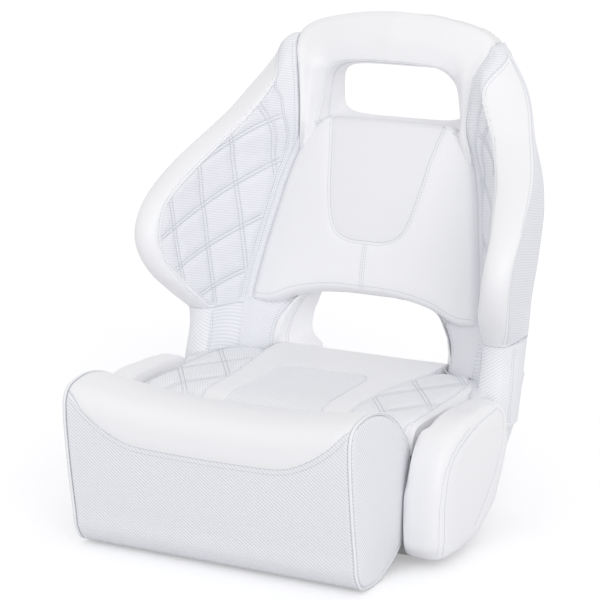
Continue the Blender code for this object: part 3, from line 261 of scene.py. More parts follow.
def nearness(points: np.ndarray, path: np.ndarray) -> np.ndarray:
    """Measures how far each point is from a path.

    Args:
        points: an array whose last axis is xyz, or xy.
        path: places along the path, close together.

    Returns:
        The distances, in metres.
    """
    flat = points.reshape(-1, points.shape[-1])
    nearest = np.empty(len(flat))
    # In parts, to save memory
    size = 4000
    for start in range(0, len(flat), size):
        part = flat[start:start + size, None] - path[None]
        nearest[start:start + size] = np.sqrt((part**2).sum(axis=2).min(axis=1))
    return nearest.reshape(points.shape[:-1])


def dent(off: np.ndarray, width: float, depth: float) -> np.ndarray:
    """Gives the sink of padding towards a sewn line.

    Args:
        off: the distances from the line.
        width: how far the padding is drawn in on each side.
        depth: how deep the line lies.

    Returns:
        How far each point moves out, below nought in the dent.
    """
    return -depth * np.exp(-((off / width) ** 2))


def off_line(count: np.ndarray) -> np.ndarray:
    """Measures how far places are from the nearest of evenly spaced lines, in steps between lines."""
    return np.abs(count - np.round(count))


def mirrored(points: np.ndarray, side: int) -> np.ndarray:
    """Turns points of the right side into those of a side, 1 for right and -1 for left."""
    return points * np.array([side, 1.0, 1.0])


# Materials


def linear(code: str) -> tuple[float, float, float, float]:
    """Turns an sRGB hex colour into linear numbers.

    Args:
        code: six hex digits with or without a leading sign.

    Returns:
        Red, green, blue and full alpha.
    """
    digits = code.lstrip("#")
    channels = [int(digits[k:k + 2], 16) / 255 for k in (0, 2, 4)]
    red, green, blue = (c / 12.92 if c <= 0.04045 else ((c + 0.055) / 1.055) ** 2.4 for c in channels)
    return red, green, blue, 1.0


def fill_node(node: bpy.types.Node, values: dict) -> None:
    """Gives a node its settings, the values of its inputs and its links.

    Args:
        node: the node.
        values: by name or number, a setting, an input's value or hex colour, or the output that feeds it.
    """
    for key, value in values.items():
        if isinstance(value, bpy.types.NodeSocket):
            node.id_data.links.new(value, node.inputs[key])
        elif isinstance(key, str) and hasattr(node, key):
            setattr(node, key, value)
        else:
            node.inputs[key].default_value = linear(value) if isinstance(value, str) else value


def add_node(
    tree: bpy.types.NodeTree, kind: str, values: dict | None = None, out: str | int = 0
) -> bpy.types.NodeSocket:
    """Adds a node with its settings and links.

    Args:
        tree: the node tree.
        kind: the node's type, without the words ShaderNode before it.
        values: what fill_node gives it.
        out: the output that is wanted, by name or number.

    Returns:
        That output.
    """
    node = tree.nodes.new("ShaderNode" + kind)
    fill_node(node, values or {})
    return node.outputs[out]


@dataclass(frozen=True)
class Finish:
    """What every finish shares: its name, and a Principled shader with a pattern in the piece's own axes."""

    name: str

    def material(self) -> bpy.types.Material:
        """Makes the material.

        Returns:
            The material.
        """
        material = bpy.data.materials.new(self.name)
        material.use_nodes = True
        tree = material.node_tree
        place = add_node(tree, "TexCoord", out="Object")
        fill_node(tree.nodes["Principled BSDF"], self.pattern(tree, place))
        return material

    def pattern(self, tree: bpy.types.NodeTree, place: bpy.types.NodeSocket) -> dict:
        """Lays out the finish's own nodes.

        Args:
            tree: the material's node tree.
            place: the piece's own coordinates.

        Returns:
            What the shader's inputs get.
        """
        raise NotImplementedError


@dataclass(frozen=True)
class MarineVinyl(Finish):
    """Marine upholstery vinyl: calendered PVC with a fine leather grain, in part embossed with twill ribs.

    The attribute panel is above nought where the cover is ribbed, and quilt is 1 where it is sewn in
    diamonds. The eye sees a soft white with a low sheen.
    """

    smooth: str = "#F4F4F6"
    shaded: str = "#EFEFF2"
    ribbed: str = "#F2F3F6"
    # The colour between the ribs, a darker white: painted shade in the ribs' valleys
    between: str = "#DBDDE3"
    # The quilted seams are darkened towards this colour: painted shade in their sunk lines
    sewn_shade: str = "#D2D4DB"
    # Ribs run square to this direction, in the seat's own axes
    across: tuple[float, float, float] = (0.0, 0.0, 1.0)
    # A real rib is about 1.5 mm wide. It is drawn at the spacing seen in the photograph's pixels
    rib_spacing: float = 4.3 * MM
    rib_depth: float = 0.34 * MM
    # How far the ribs wander, in ribs, where the cover is stretched over its foam
    wander: float = 1.2
    # The yarn marks that cross each rib, about 1.7 mm apart, and their share of the rib's height
    yarn: float = MM / 0.6
    yarn_share: float = 0.22
    # The grain's cells are about 0.8 mm, too fine to show, so they are drawn at 1.6 mm
    grain: float = 1.6 * MM
    grain_depth: float = 0.04 * MM
    # The two seams of a quilted line lie this far to each side of it
    stitch_offset: float = 3.0 * MM
    quilt_spacings: tuple[float, float] = (70 * MM, 61 * MM)
    stitch_depth: float = 0.5 * MM
    quilt_shade: float = 0.3
    quilted: bool = False
    # Whether the ribs are counted by the attribute phase, for panels whose ribs run different ways
    phased: bool = False

    def pattern(self, tree: bpy.types.NodeTree, place: bpy.types.NodeSocket) -> dict:
        """Lays the grain, the ribs and the quilted lines.

        Args:
            tree: the material's node tree.
            place: the piece's own coordinates.

        Returns:
            What the shader's inputs get.
        """
        panel = add_node(tree, "Attribute", {"attribute_name": "panel"}, "Fac")
        mask = add_node(tree, "MapRange", {"From Min": -0.4 * MM, "From Max": 0.4 * MM, "Value": panel})
        rib = self.ribs(tree, place)
        yarn = add_node(tree, "TexNoise", {"Scale": 1 / self.yarn, "Detail": 2.0, "Vector": place})
        woven = add_node(tree, "Math", {"operation": "MULTIPLY_ADD", 0: yarn, 1: self.yarn_share, 2: rib})
        rib_height = add_node(tree, "Math", {"operation": "MULTIPLY", 0: woven, 1: self.rib_depth})
        cells = add_node(tree, "TexVoronoi", {"Scale": 1 / self.grain, "Vector": place}, "Distance")
        grain_height = add_node(tree, "Math", {"operation": "MULTIPLY", 0: cells, 1: self.grain_depth})
        height = add_node(tree, "Mix", {"data_type": "FLOAT", 0: mask, 2: grain_height, 3: rib_height})
        # Slow changes of tone over the cover, 0.2 m apart, and a little less light between the ribs
        tone = add_node(tree, "TexNoise", {"Scale": 5.0, "Detail": 2.0, "Vector": place})
        plain = add_node(tree, "Mix", {"data_type": "RGBA", 0: tone, 6: self.smooth, 7: self.shaded}, 2)
        twill = add_node(tree, "Mix", {"data_type": "RGBA", 0: rib, 6: self.between, 7: self.ribbed}, 2)
        colour = add_node(tree, "Mix", {"data_type": "RGBA", 0: mask, 6: plain, 7: twill}, 2)
        if self.quilted:
            sewn = self.quilting(tree)
            height = add_node(
                tree, "Math", {"operation": "MULTIPLY_ADD", 0: sewn, 1: -self.stitch_depth, 2: height})
            # Painted shade along the sunk lines of the quilted seams
            shade = add_node(tree, "Math", {"operation": "MULTIPLY", 0: sewn, 1: self.quilt_shade})
            colour = add_node(tree, "Mix", {"data_type": "RGBA", 0: shade, 6: colour, 7: self.sewn_shade}, 2)
        return {
            "Base Color": colour,
            "Roughness": add_node(tree, "MapRange", {"To Min": 0.40, "To Max": 0.55, "Value": mask}),
            "Normal": add_node(tree, "Bump", {"Strength": 1.0, "Distance": 1.0, "Height": height}),
            "IOR": 1.53, "Specular IOR Level": 0.4,
        }

    def ribs(self, tree: bpy.types.NodeTree, place: bpy.types.NodeSocket) -> bpy.types.NodeSocket:
        """Lays the ribs of the twill.

        Args:
            tree: the material's node tree.
            place: the piece's own coordinates.

        Returns:
            The height across each rib, from 0 to 1.
        """
        wander = add_node(tree, "TexNoise", {"Scale": 9.0, "Detail": 1.0, "Vector": place})
        length = math.sqrt(sum(part * part for part in self.across))
        turns = tuple(part / length / self.rib_spacing for part in self.across)
        phase = add_node(tree, "VectorMath", {"operation": "DOT_PRODUCT", 0: place, 1: turns}, "Value")
        if self.phased:
            phase = add_node(tree, "Attribute", {"attribute_name": "phase"}, "Fac")
        loose = add_node(tree, "Math", {"operation": "MULTIPLY_ADD", 0: wander, 1: self.wander, 2: phase})
        half_turn = add_node(tree, "Math", {"operation": "MULTIPLY", 0: loose, 1: math.pi})
        wave = add_node(tree, "Math", {"operation": "SINE", 0: half_turn})
        return add_node(tree, "Math", {"operation": "ABSOLUTE", 0: wave})

    def quilting(self, tree: bpy.types.NodeTree) -> bpy.types.NodeSocket:
        """Lays the double seams along both sets of quilted lines.

        Args:
            tree: the material's node tree.

        Returns:
            1 on a seam, 0 away from it.
        """
        lines = []
        for name, spacing in zip(("line_a", "line_b"), self.quilt_spacings):
            count = add_node(tree, "Attribute", {"attribute_name": name}, "Fac")
            whole = add_node(tree, "Math", {"operation": "ROUND", 0: count})
            rest = add_node(tree, "Math", {"operation": "SUBTRACT", 0: count, 1: whole})
            off = add_node(tree, "Math", {"operation": "ABSOLUTE", 0: rest})
            far = add_node(
                tree, "Math", {"operation": "MULTIPLY_ADD", 0: off, 1: spacing, 2: -self.stitch_offset})
            near = add_node(tree, "Math", {"operation": "ABSOLUTE", 0: far})
            lines.append(add_node(tree, "MapRange", {
                "interpolation_type": "SMOOTHSTEP", "From Min": 0.1 * MM, "From Max": 1.2 * MM,
                "To Min": 1.0, "To Max": 0.0, "Value": near,
            }))
        both = add_node(tree, "Math", {"operation": "MAXIMUM", 0: lines[0], 1: lines[1]})
        quilt = add_node(tree, "Attribute", {"attribute_name": "quilt"}, "Fac")
        return add_node(tree, "Math", {"operation": "MULTIPLY", 0: both, 1: quilt})


@dataclass(frozen=True)
class TwoTone(Finish):
    """A finish whose colour, and the height of its surface, follow one fine noise between two near tones."""

    colour: str
    other: str
    rough: float
    ior: float
    # Cells of the noise to a metre, or along x, y and z for a drawn one
    scale: float = 1.0
    drawn: tuple = ()
    detail: float = 2.0
    bump: float = 0.0
    bump_height: float = 0.0

    def pattern(self, tree: bpy.types.NodeTree, place: bpy.types.NodeSocket) -> dict:
        """Lays the noise, the two tones and the bumps.

        Args:
            tree: the material's node tree.
            place: the piece's own coordinates.

        Returns:
            What the shader's inputs get.
        """
        if self.drawn:
            place = add_node(tree, "Mapping", {"Scale": self.drawn, "Vector": place})
        noise = add_node(tree, "TexNoise", {"Scale": self.scale, "Detail": self.detail, "Vector": place})
        colour = add_node(tree, "Mix", {"data_type": "RGBA", 0: noise, 6: self.colour, 7: self.other}, 2)
        inputs = {"Base Color": colour, "Roughness": self.rough, "IOR": self.ior}
        if self.bump:
            inputs["Normal"] = add_node(
                tree, "Bump", {"Strength": self.bump, "Distance": self.bump_height, "Height": noise})
        return inputs


@dataclass(frozen=True)
class Thread(TwoTone):
    """Bonded polyester sewing thread, laid stitch by stitch; its grey is painted shade of the needle holes."""

    name: str = "bonded_polyester_thread"
    # Greys for the white thread: painted shade of the needle holes and of the thread's dip into them
    colour: str = "#B3B7C1"
    other: str = "#C9CCD4"
    rough: float = 0.55
    ior: float = 1.54
    # The twist is 0.5 mm along the thread
    scale: float = 2 / MM
    detail: float = 1.0
    bump: float = 0.5
    bump_height: float = 0.1 * MM


@dataclass(frozen=True)
class SeamShadow(TwoTone):
    """Painted shade in a sewn seam's groove, where two covers meet: a dark tube in place of the shade."""

    name: str = "vinyl_seam_painted_shade"
    colour: str = "#C3C6CE"
    other: str = "#D3D5DB"
    rough: float = 0.7
    ior: float = 1.53
    # Slow changes of tone, some 33 mm apart
    scale: float = 30.0


@dataclass(frozen=True)
class MarineBoard(TwoTone):
    """Sawn high-density polyethylene board: pale, with the fine straight marks of the saw on its faces."""

    name: str = "sawn_polyethylene_board"
    colour: str = "#C9C7C0"
    other: str = "#D9D8D3"
    rough: float = 0.6
    ior: float = 1.51
    # Saw marks 2 mm apart, long in one direction
    drawn: tuple = (0.5 / MM, 20.0, 0.5 / MM)
    bump: float = 0.5
    bump_height: float = 0.1 * MM


@dataclass(frozen=True)
class PlainPolymer(TwoTone):
    """A turned or moulded polymer part, such as a nylon bush or a rubber stop, slightly mottled."""

    # Mottling of about 3 mm
    scale: float = 0.33 / MM
    detail: float = 3.0
    bump: float = 0.3
    bump_height: float = 0.05 * MM


@dataclass(frozen=True)
class MouldedPlastic(Finish):
    """Rotomoulded polyethylene with a fine pebble from the mould: a plain warm white, slightly waxy."""

    name: str = "rotomoulded_polyethylene"
    colour: str = "#EFEFEF"
    other: str = "#E6E6E6"
    # The pebble of the mould is about 1.2 mm, drawn at 1.6 mm
    pebble: float = 1.6 * MM

    def pattern(self, tree: bpy.types.NodeTree, place: bpy.types.NodeSocket) -> dict:
        """Lays the pebble over slow changes of tone.

        Args:
            tree: the material's node tree.
            place: the piece's own coordinates.

        Returns:
            What the shader's inputs get.
        """
        pebble = add_node(tree, "TexVoronoi", {"Scale": 1 / self.pebble, "Vector": place}, "Distance")
        tone = add_node(tree, "TexNoise", {"Scale": 8.0, "Detail": 3.0, "Vector": place})
        mixed = add_node(tree, "Mix", {"data_type": "RGBA", 0: tone, 6: self.colour, 7: self.other}, 2)
        return {
            "Base Color": mixed,
            "Normal": add_node(tree, "Bump", {"Strength": 0.6, "Distance": 0.08 * MM, "Height": pebble}),
            "Roughness": 0.48, "IOR": 1.51,
        }


@dataclass(frozen=True)
class BrushedSteel(Finish):
    """Brushed stainless steel: cool grey metal with fine lines that stretch its highlights."""

    name: str = "brushed_stainless_steel"
    colour: str = "#C4C5C7"
    # Brush lines about 0.2 mm apart, drawn at 0.6 mm and long in one direction
    lines: tuple[float, float, float] = (1.6 / MM, 40.0, 1.6 / MM)

    def pattern(self, tree: bpy.types.NodeTree, place: bpy.types.NodeSocket) -> dict:
        """Lays the brush lines in gloss and height.

        Args:
            tree: the material's node tree.
            place: the piece's own coordinates.

        Returns:
            What the shader's inputs get.
        """
        drawn = add_node(tree, "Mapping", {"Scale": self.lines, "Vector": place})
        lines = add_node(tree, "TexNoise", {"Scale": 1.0, "Detail": 3.0, "Vector": drawn})
        return {
            "Base Color": linear(self.colour), "Metallic": 1.0,
            "Roughness": add_node(tree, "MapRange", {"To Min": 0.22, "To Max": 0.40, "Value": lines}),
            "Normal": add_node(tree, "Bump", {"Strength": 0.3, "Distance": 0.03 * MM, "Height": lines}),
        }


# Meshes


class Slot(Enum):
    """The names of the record's smooth and twill vinyl material slots."""

    SMOOTH = "smooth_vinyl"
    TWILL = "twill_vinyl"


class Body(Enum):
    """The bodies of the model: the fixed seat and the bolster that flips up."""

    SEAT = "seat"
    BOLSTER = "bolster"


@dataclass
class Skin:
    """A cover as rows and columns of points, its columns closed into rings, before it becomes a mesh."""

    points: np.ndarray
    folded: bool = False
    fields: dict[str, np.ndarray] = field(default_factory=dict)

    def facing(self) -> np.ndarray:
        """Gives the outward direction at each point.

        Returns:
            The directions, of length one.
        """
        p = self.points
        along = np.roll(p, -1, axis=1) - np.roll(p, 1, axis=1)
        return unit(np.cross(along, np.gradient(p, axis=0))) * self.outward()

    def outward(self) -> float:
        """Tells whether the rings run so that their faces look out (1) or in (-1).

        Returns:
            The sign.
        """
        p = self.points
        across = np.cross(np.roll(p, -1, axis=1) - p, np.gradient(p, axis=0))
        return 1.0 if float((across * (p - p.mean(axis=1, keepdims=True))).sum()) > 0 else -1.0

    def push(self, amount: np.ndarray) -> None:
        """Moves the points out by an amount each, in metres."""
        self.points = self.points + self.facing() * amount[..., None]

    def cover_with(self, panel: float) -> None:
        """Makes the skin all smooth or all ribbed."""
        self.fields["panel"] = np.full(self.points.shape[:2], panel)

    def faces(self) -> list[tuple[int, ...]]:
        """Lists the faces between the rows, and the caps at both ends.

        Returns:
            The corners of each face, as indices. A folded skin's caps are strips from its front to its back.
        """
        rows, count = self.points.shape[:2]
        quads = []
        for i in range(rows - 1):
            low, high = i * count, (i + 1) * count
            for k in range(count):
                after = (k + 1) % count
                quads.append((low + k, low + after, high + after, high + k))
        for start, turn in ((0, True), ((rows - 1) * count, False)):
            caps = [tuple(range(start, start + count))]
            if self.folded:
                caps = [
                    (start + k, start + k + 1, start + count - 2 - k, start + count - 1 - k)
                    for k in range(count // 2 - 1)
                ]
            quads += [cap[::-1] if turn else cap for cap in caps]
        return [face[::-1] for face in quads] if self.outward() < 0 else quads

    def build(self, name: str, material: bpy.types.Material) -> bpy.types.Object:
        """Makes the cover's object.

        Args:
            name: the piece's name.
            material: its finish.

        Returns:
            The object, with the cover's fields as point attributes.
        """
        return new_object(name, self.points.reshape(-1, 3), self.faces(), material, self.fields)


def new_object(
    name: str,
    points: np.ndarray,
    faces: Sequence[Sequence[int]],
    material: bpy.types.Material,
    fields: dict[str, np.ndarray] | None = None,
) -> bpy.types.Object:
    """Makes a smooth-shaded mesh object.

    Args:
        name: the piece's name.
        points: its points.
        faces: its faces as indices.
        material: its finish.
        fields: numbers at the points, by attribute name.

    Returns:
        The object, linked to the scene.
    """
    mesh = bpy.data.meshes.new(name)
    mesh.from_pydata(np.asarray(points).tolist(), [], [list(face) for face in faces])
    for key, values in (fields or {}).items():
        layer = mesh.attributes.new(key, "FLOAT", "POINT")
        layer.data.foreach_set("value", np.asarray(values, np.float32).ravel())
    mesh.materials.append(material)
    # Faces with many corners close the ends, and stay flat
    mesh.polygons.foreach_set("use_smooth", [len(face) <= 4 for face in faces])
    mesh.set_sharp_from_angle(angle=SHARP_ANGLE)
    mesh.update()
    thing = bpy.data.objects.new(name, mesh)
    bpy.context.scene.collection.objects.link(thing)
    return thing


@dataclass
class Sewing:
    """The stitches, the seams' painted shade lines and the welts sewn on one cover."""

    cover: bpy.types.Object
    body: Body
    thread: bpy.types.Material
    seam_shade: bpy.types.Material
    welt: bpy.types.Material
    # Real stitches are 4 mm long with 0.5 mm thread. The thread is drawn at 0.8 mm so that it shows
    pitch: float = 4.4 * MM
    stitch: float = 3.0 * MM
    thread_radius: float = 0.4 * MM
    # Half the way between the two rows of a double seam
    double: float = 3.0 * MM
    seam_shade_sides: int = 4
    welt_sides: int = 6
    tree: BVHTree = field(init=False)
    threads: list[np.ndarray] = field(default_factory=list)
    seam_shades: list[tuple[np.ndarray, float]] = field(default_factory=list)
    welts: list[tuple[np.ndarray, float]] = field(default_factory=list)

    def __post_init__(self) -> None:
        """Reads the cover's surface."""
        mesh = self.cover.data
        places = [vertex.co for vertex in mesh.vertices]
        self.tree = BVHTree.FromPolygons(places, [tuple(face.vertices) for face in mesh.polygons])

    def hit(self, start: Sequence[float], way: Sequence[float]) -> Vector | None:
        """Finds where a straight line meets the cover.

        Args:
            start: where the line starts.
            way: its direction.

        Returns:
            The place, or none.
        """
        return self.tree.ray_cast(Vector(start), Vector(way))[0]

    def settle(self, path: np.ndarray) -> tuple[np.ndarray, np.ndarray]:
        """Lays a path on the cover.

        Args:
            path: places near the cover.

        Returns:
            The places on it and the outward directions there.
        """
        found = [self.tree.find_nearest(Vector(point)) for point in path]
        return np.array([place for place, *_ in found]), np.array([out for _, out, *_ in found])

    def beside(self, path: np.ndarray, offset: float) -> tuple[np.ndarray, np.ndarray]:
        """Lays a path on the cover a little to one side.

        Args:
            path: places near the cover.
            offset: how far to the side, by its sign left or right.

        Returns:
            The places and the outward directions there.
        """
        places, outs = self.settle(path)
        if offset:
            ahead = unit(np.gradient(places, axis=0))
            places, outs = self.settle(places + np.cross(ahead, outs) * offset)
        return places, outs

    def sew(self, path: np.ndarray, offset: float = 0.0) -> None:
        """Sews a row of stitches along a path.

        Args:
            path: places near the cover.
            offset: how far to its side the row runs.
        """
        places, outs = self.beside(path, offset)
        run = run_along(places[None])[0]

        def at(far: float, table: np.ndarray) -> np.ndarray:
            """Reads a table of the path at a length along it."""
            return np.array([np.interp(far, run, table[:, k]) for k in range(3)])

        for start in np.arange(self.pitch / 2, run[-1] - self.stitch, self.pitch):
            ends = at(start, places), at(start + self.stitch, places)
            self.threads.append(np.array([*ends, at(start, outs)]))

    def sew_double(self, path: np.ndarray) -> None:
        """Sews a row of stitches on each side of a path."""
        self.sew(path, -self.double)
        self.sew(path, self.double)

    def crease(self, path: np.ndarray, radius: float = 0.5 * MM) -> None:
        """Lays a dark tube along a path: painted shade in the turned-in edge of a seam.

        Args:
            path: places near the cover.
            radius: half its width.
        """
        self.seam_shades.append((self.settle(path)[0], radius))

    def seam(self, path: np.ndarray, radius: float, offset: float) -> None:
        """Lays a line of painted shade along a seam with a row of stitches beside it.

        Args:
            path: places near the cover.
            radius: half the shade line's width.
            offset: how far to its side the stitches run.
        """
        self.crease(path, radius)
        self.sew(path, offset)

    def pipe(self, path: np.ndarray, radius: float, offset: float = 0.0) -> None:
        """Lays a slim raised welt along a path.

        Args:
            path: places near the cover.
            radius: its radius.
            offset: how far to the side it runs.
        """
        self.welts.append((self.beside(path, offset)[0], radius))

    def build(self, stem: str) -> None:
        """Makes the objects of the stitches, painted seam shade lines and welts, riding with the cover's body.

        Args:
            stem: how their names start.
        """
        made = []
        if self.threads:
            made.append(self.stitches(stem + "_stitching"))
        # Dark tubes along the seams: painted shade
        if self.seam_shades:
            made.append(tubes(stem + "_seam_shade_lines", self.seam_shades, self.seam_shade_sides, self.seam_shade))
        if self.welts:
            made.append(tubes(stem + "_welts", self.welts, self.welt_sides, self.welt))
        for thing in made:
            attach(thing, self.body.value)

    def stitches(self, name: str) -> bpy.types.Object:
        """Makes one mesh of all the stitches, each a thin grain that tapers into its needle holes.

        Args:
            name: the piece's name.

        Returns:
            The object.
        """
        points, faces = [], []
        for start, end, out in self.threads:
            ahead, out = unit(end - start), unit(out)
            side = np.cross(ahead, out)
            base = len(points)
            lift = out * self.thread_radius * 0.5
            points.append(start - lift)
            for share in (0.25, 0.75):
                middle = start + (end - start) * share + lift
                points += [middle + way * self.thread_radius for way in (side, out, -side, -out)]
            points.append(end - lift)
            for k in range(4):
                after = (k + 1) % 4
                faces.append((base, base + 1 + after, base + 1 + k))
                faces.append((base + 1 + k, base + 1 + after, base + 5 + after, base + 5 + k))
                faces.append((base + 5 + k, base + 5 + after, base + 9))
        return new_object(name, np.array(points), faces, self.thread)


def tubes(
    name: str, routes: Sequence[tuple[np.ndarray, float]], sides: int, material: bpy.types.Material
) -> bpy.types.Object:
    """Makes round cords along routes, all in one mesh.

    Args:
        name: the piece's name.
        routes: the places along each cord, with its radius.
        sides: how many sides a cord has.
        material: its finish.

    Returns:
        The object.
    """
    points, faces = [], []
    for route, radius in routes:
        ahead = unit(np.gradient(route, axis=0))
        # Any direction will do that no route here follows
        side = np.cross(ahead[0], (0.31, 0.42, 0.85))
        base, last = len(points), len(points) + (len(route) - 1) * sides
        for place, forward in zip(route, ahead):
            side = unit(side - forward * side.dot(forward))
            up = np.cross(forward, side)
            for k in range(sides):
                angle = 2 * math.pi * k / sides
                points.append(place + (side * math.cos(angle) + up * math.sin(angle)) * radius)
        for low in range(base, last, sides):
            for k in range(sides):
                after = (k + 1) % sides
                faces.append((low + k, low + after, low + sides + after, low + sides + k))
        faces.append(tuple(range(base, base + sides))[::-1])
        faces.append(tuple(range(last, last + sides)))
    return new_object(name, np.array(points), faces, material)


# The seat's assemblies


@dataclass(frozen=True)
class SeatSizes:
    """The main sizes of the seat, in metres, shared by its assemblies."""

    half_width: float = 0.315
    height: float = 0.727
    reach: float = 0.300
    recline_share: float = 0.819
    cushion_top_share: float = 0.28
    base_deck_share: float = 0.19
    board: float = 0.012
    gap: float = 0.0003
    pad: float = 0.030
    pivot_y: float = -0.095
    waterfall: float = 0.0395
    rear_shares: tuple = (
        (0.2, 0.707), (0.28, 0.76), (0.413, 0.867), (0.55, 0.963), (0.688, 1.05), (0.825, 1.12),
        (0.908, 1.137), (1.0, 1.12),
    )

    @property
    def recline(self) -> float:
        """The angle of the back from upright."""
        return math.atan2(self.reach * self.recline_share, self.height)

    @property
    def cushion_top(self) -> float:
        """The height of the seat cushion's top."""
        return self.height * self.cushion_top_share

    @property
    def deck(self) -> float:
        """The height of the base's deck."""
        return self.height * self.base_deck_share

    @property
    def back_foot(self) -> float:
        """Where the back's front plane meets the cushion."""
        return self.reach * 0.5

    @property
    def headrest_back(self) -> float:
        """Where the headrest's pad ends."""
        return self.reach * 1.01

    def front_y(self, z: float) -> float:
        """Where the back's front plane is at a height."""
        return self.back_foot + (z - self.cushion_top) * math.tan(self.recline)

    def pad_back_y(self, z: float) -> float:
        """Where the back pads end at a height."""
        return min(self.front_y(z) + self.pad / math.cos(self.recline), self.headrest_back)

    def back_place(self, x: float, up: float, out: float) -> tuple[float, float, float]:
        """Finds a place on the reclined back.

        Args:
            x: the place across the seat.
            up: how far up the recline.
            out: how far behind its front plane.

        Returns:
            The place as x, y and z.
        """
        rise, run = math.cos(self.recline), math.sin(self.recline)
        return x, self.back_foot + up * run + out * rise, self.cushion_top + up * rise - out * run

    def rear_y(self, z: float) -> float:
        """The rear surface of the seat at a height."""
        return read_table(blend_rows(self.rear_shares, 3), z / self.height) * self.reach


@dataclass(frozen=True)
class Workshop:
    """What every assembly is dressed from: the sizes and the shared finishes."""

    sizes: SeatSizes
    thread: bpy.types.Material
    # The dark material of the painted shade along the seams
    seam_shade: bpy.types.Material
    smooth: bpy.types.Material

    def sewing(self, cover: bpy.types.Object, body: Body) -> Sewing:
        """Starts the sewing of a cover.

        Args:
            cover: the cover's object.
            body: the body that it rides on.

        Returns:
            The sewing, still empty.
        """
        return Sewing(cover, body, self.thread, self.seam_shade, self.smooth)


def place_cover(thing: bpy.types.Object, body: Body, slot: Slot, fill: float, *nodes: str) -> None:
    """Puts a padded cover on its body.

    Args:
        thing: the cover.
        body: the body that it rides on.
        slot: the record's material slot; not used.
        fill: how tight its padding is, from 0 to 1; not used.
        nodes: the CAD nodes that it stands for, if any.
    """
    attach(thing, body.value)
    if nodes:
        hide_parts(*nodes)
    LOG.info("%s: %d points on %s", thing.name, len(thing.data.vertices), body.value)


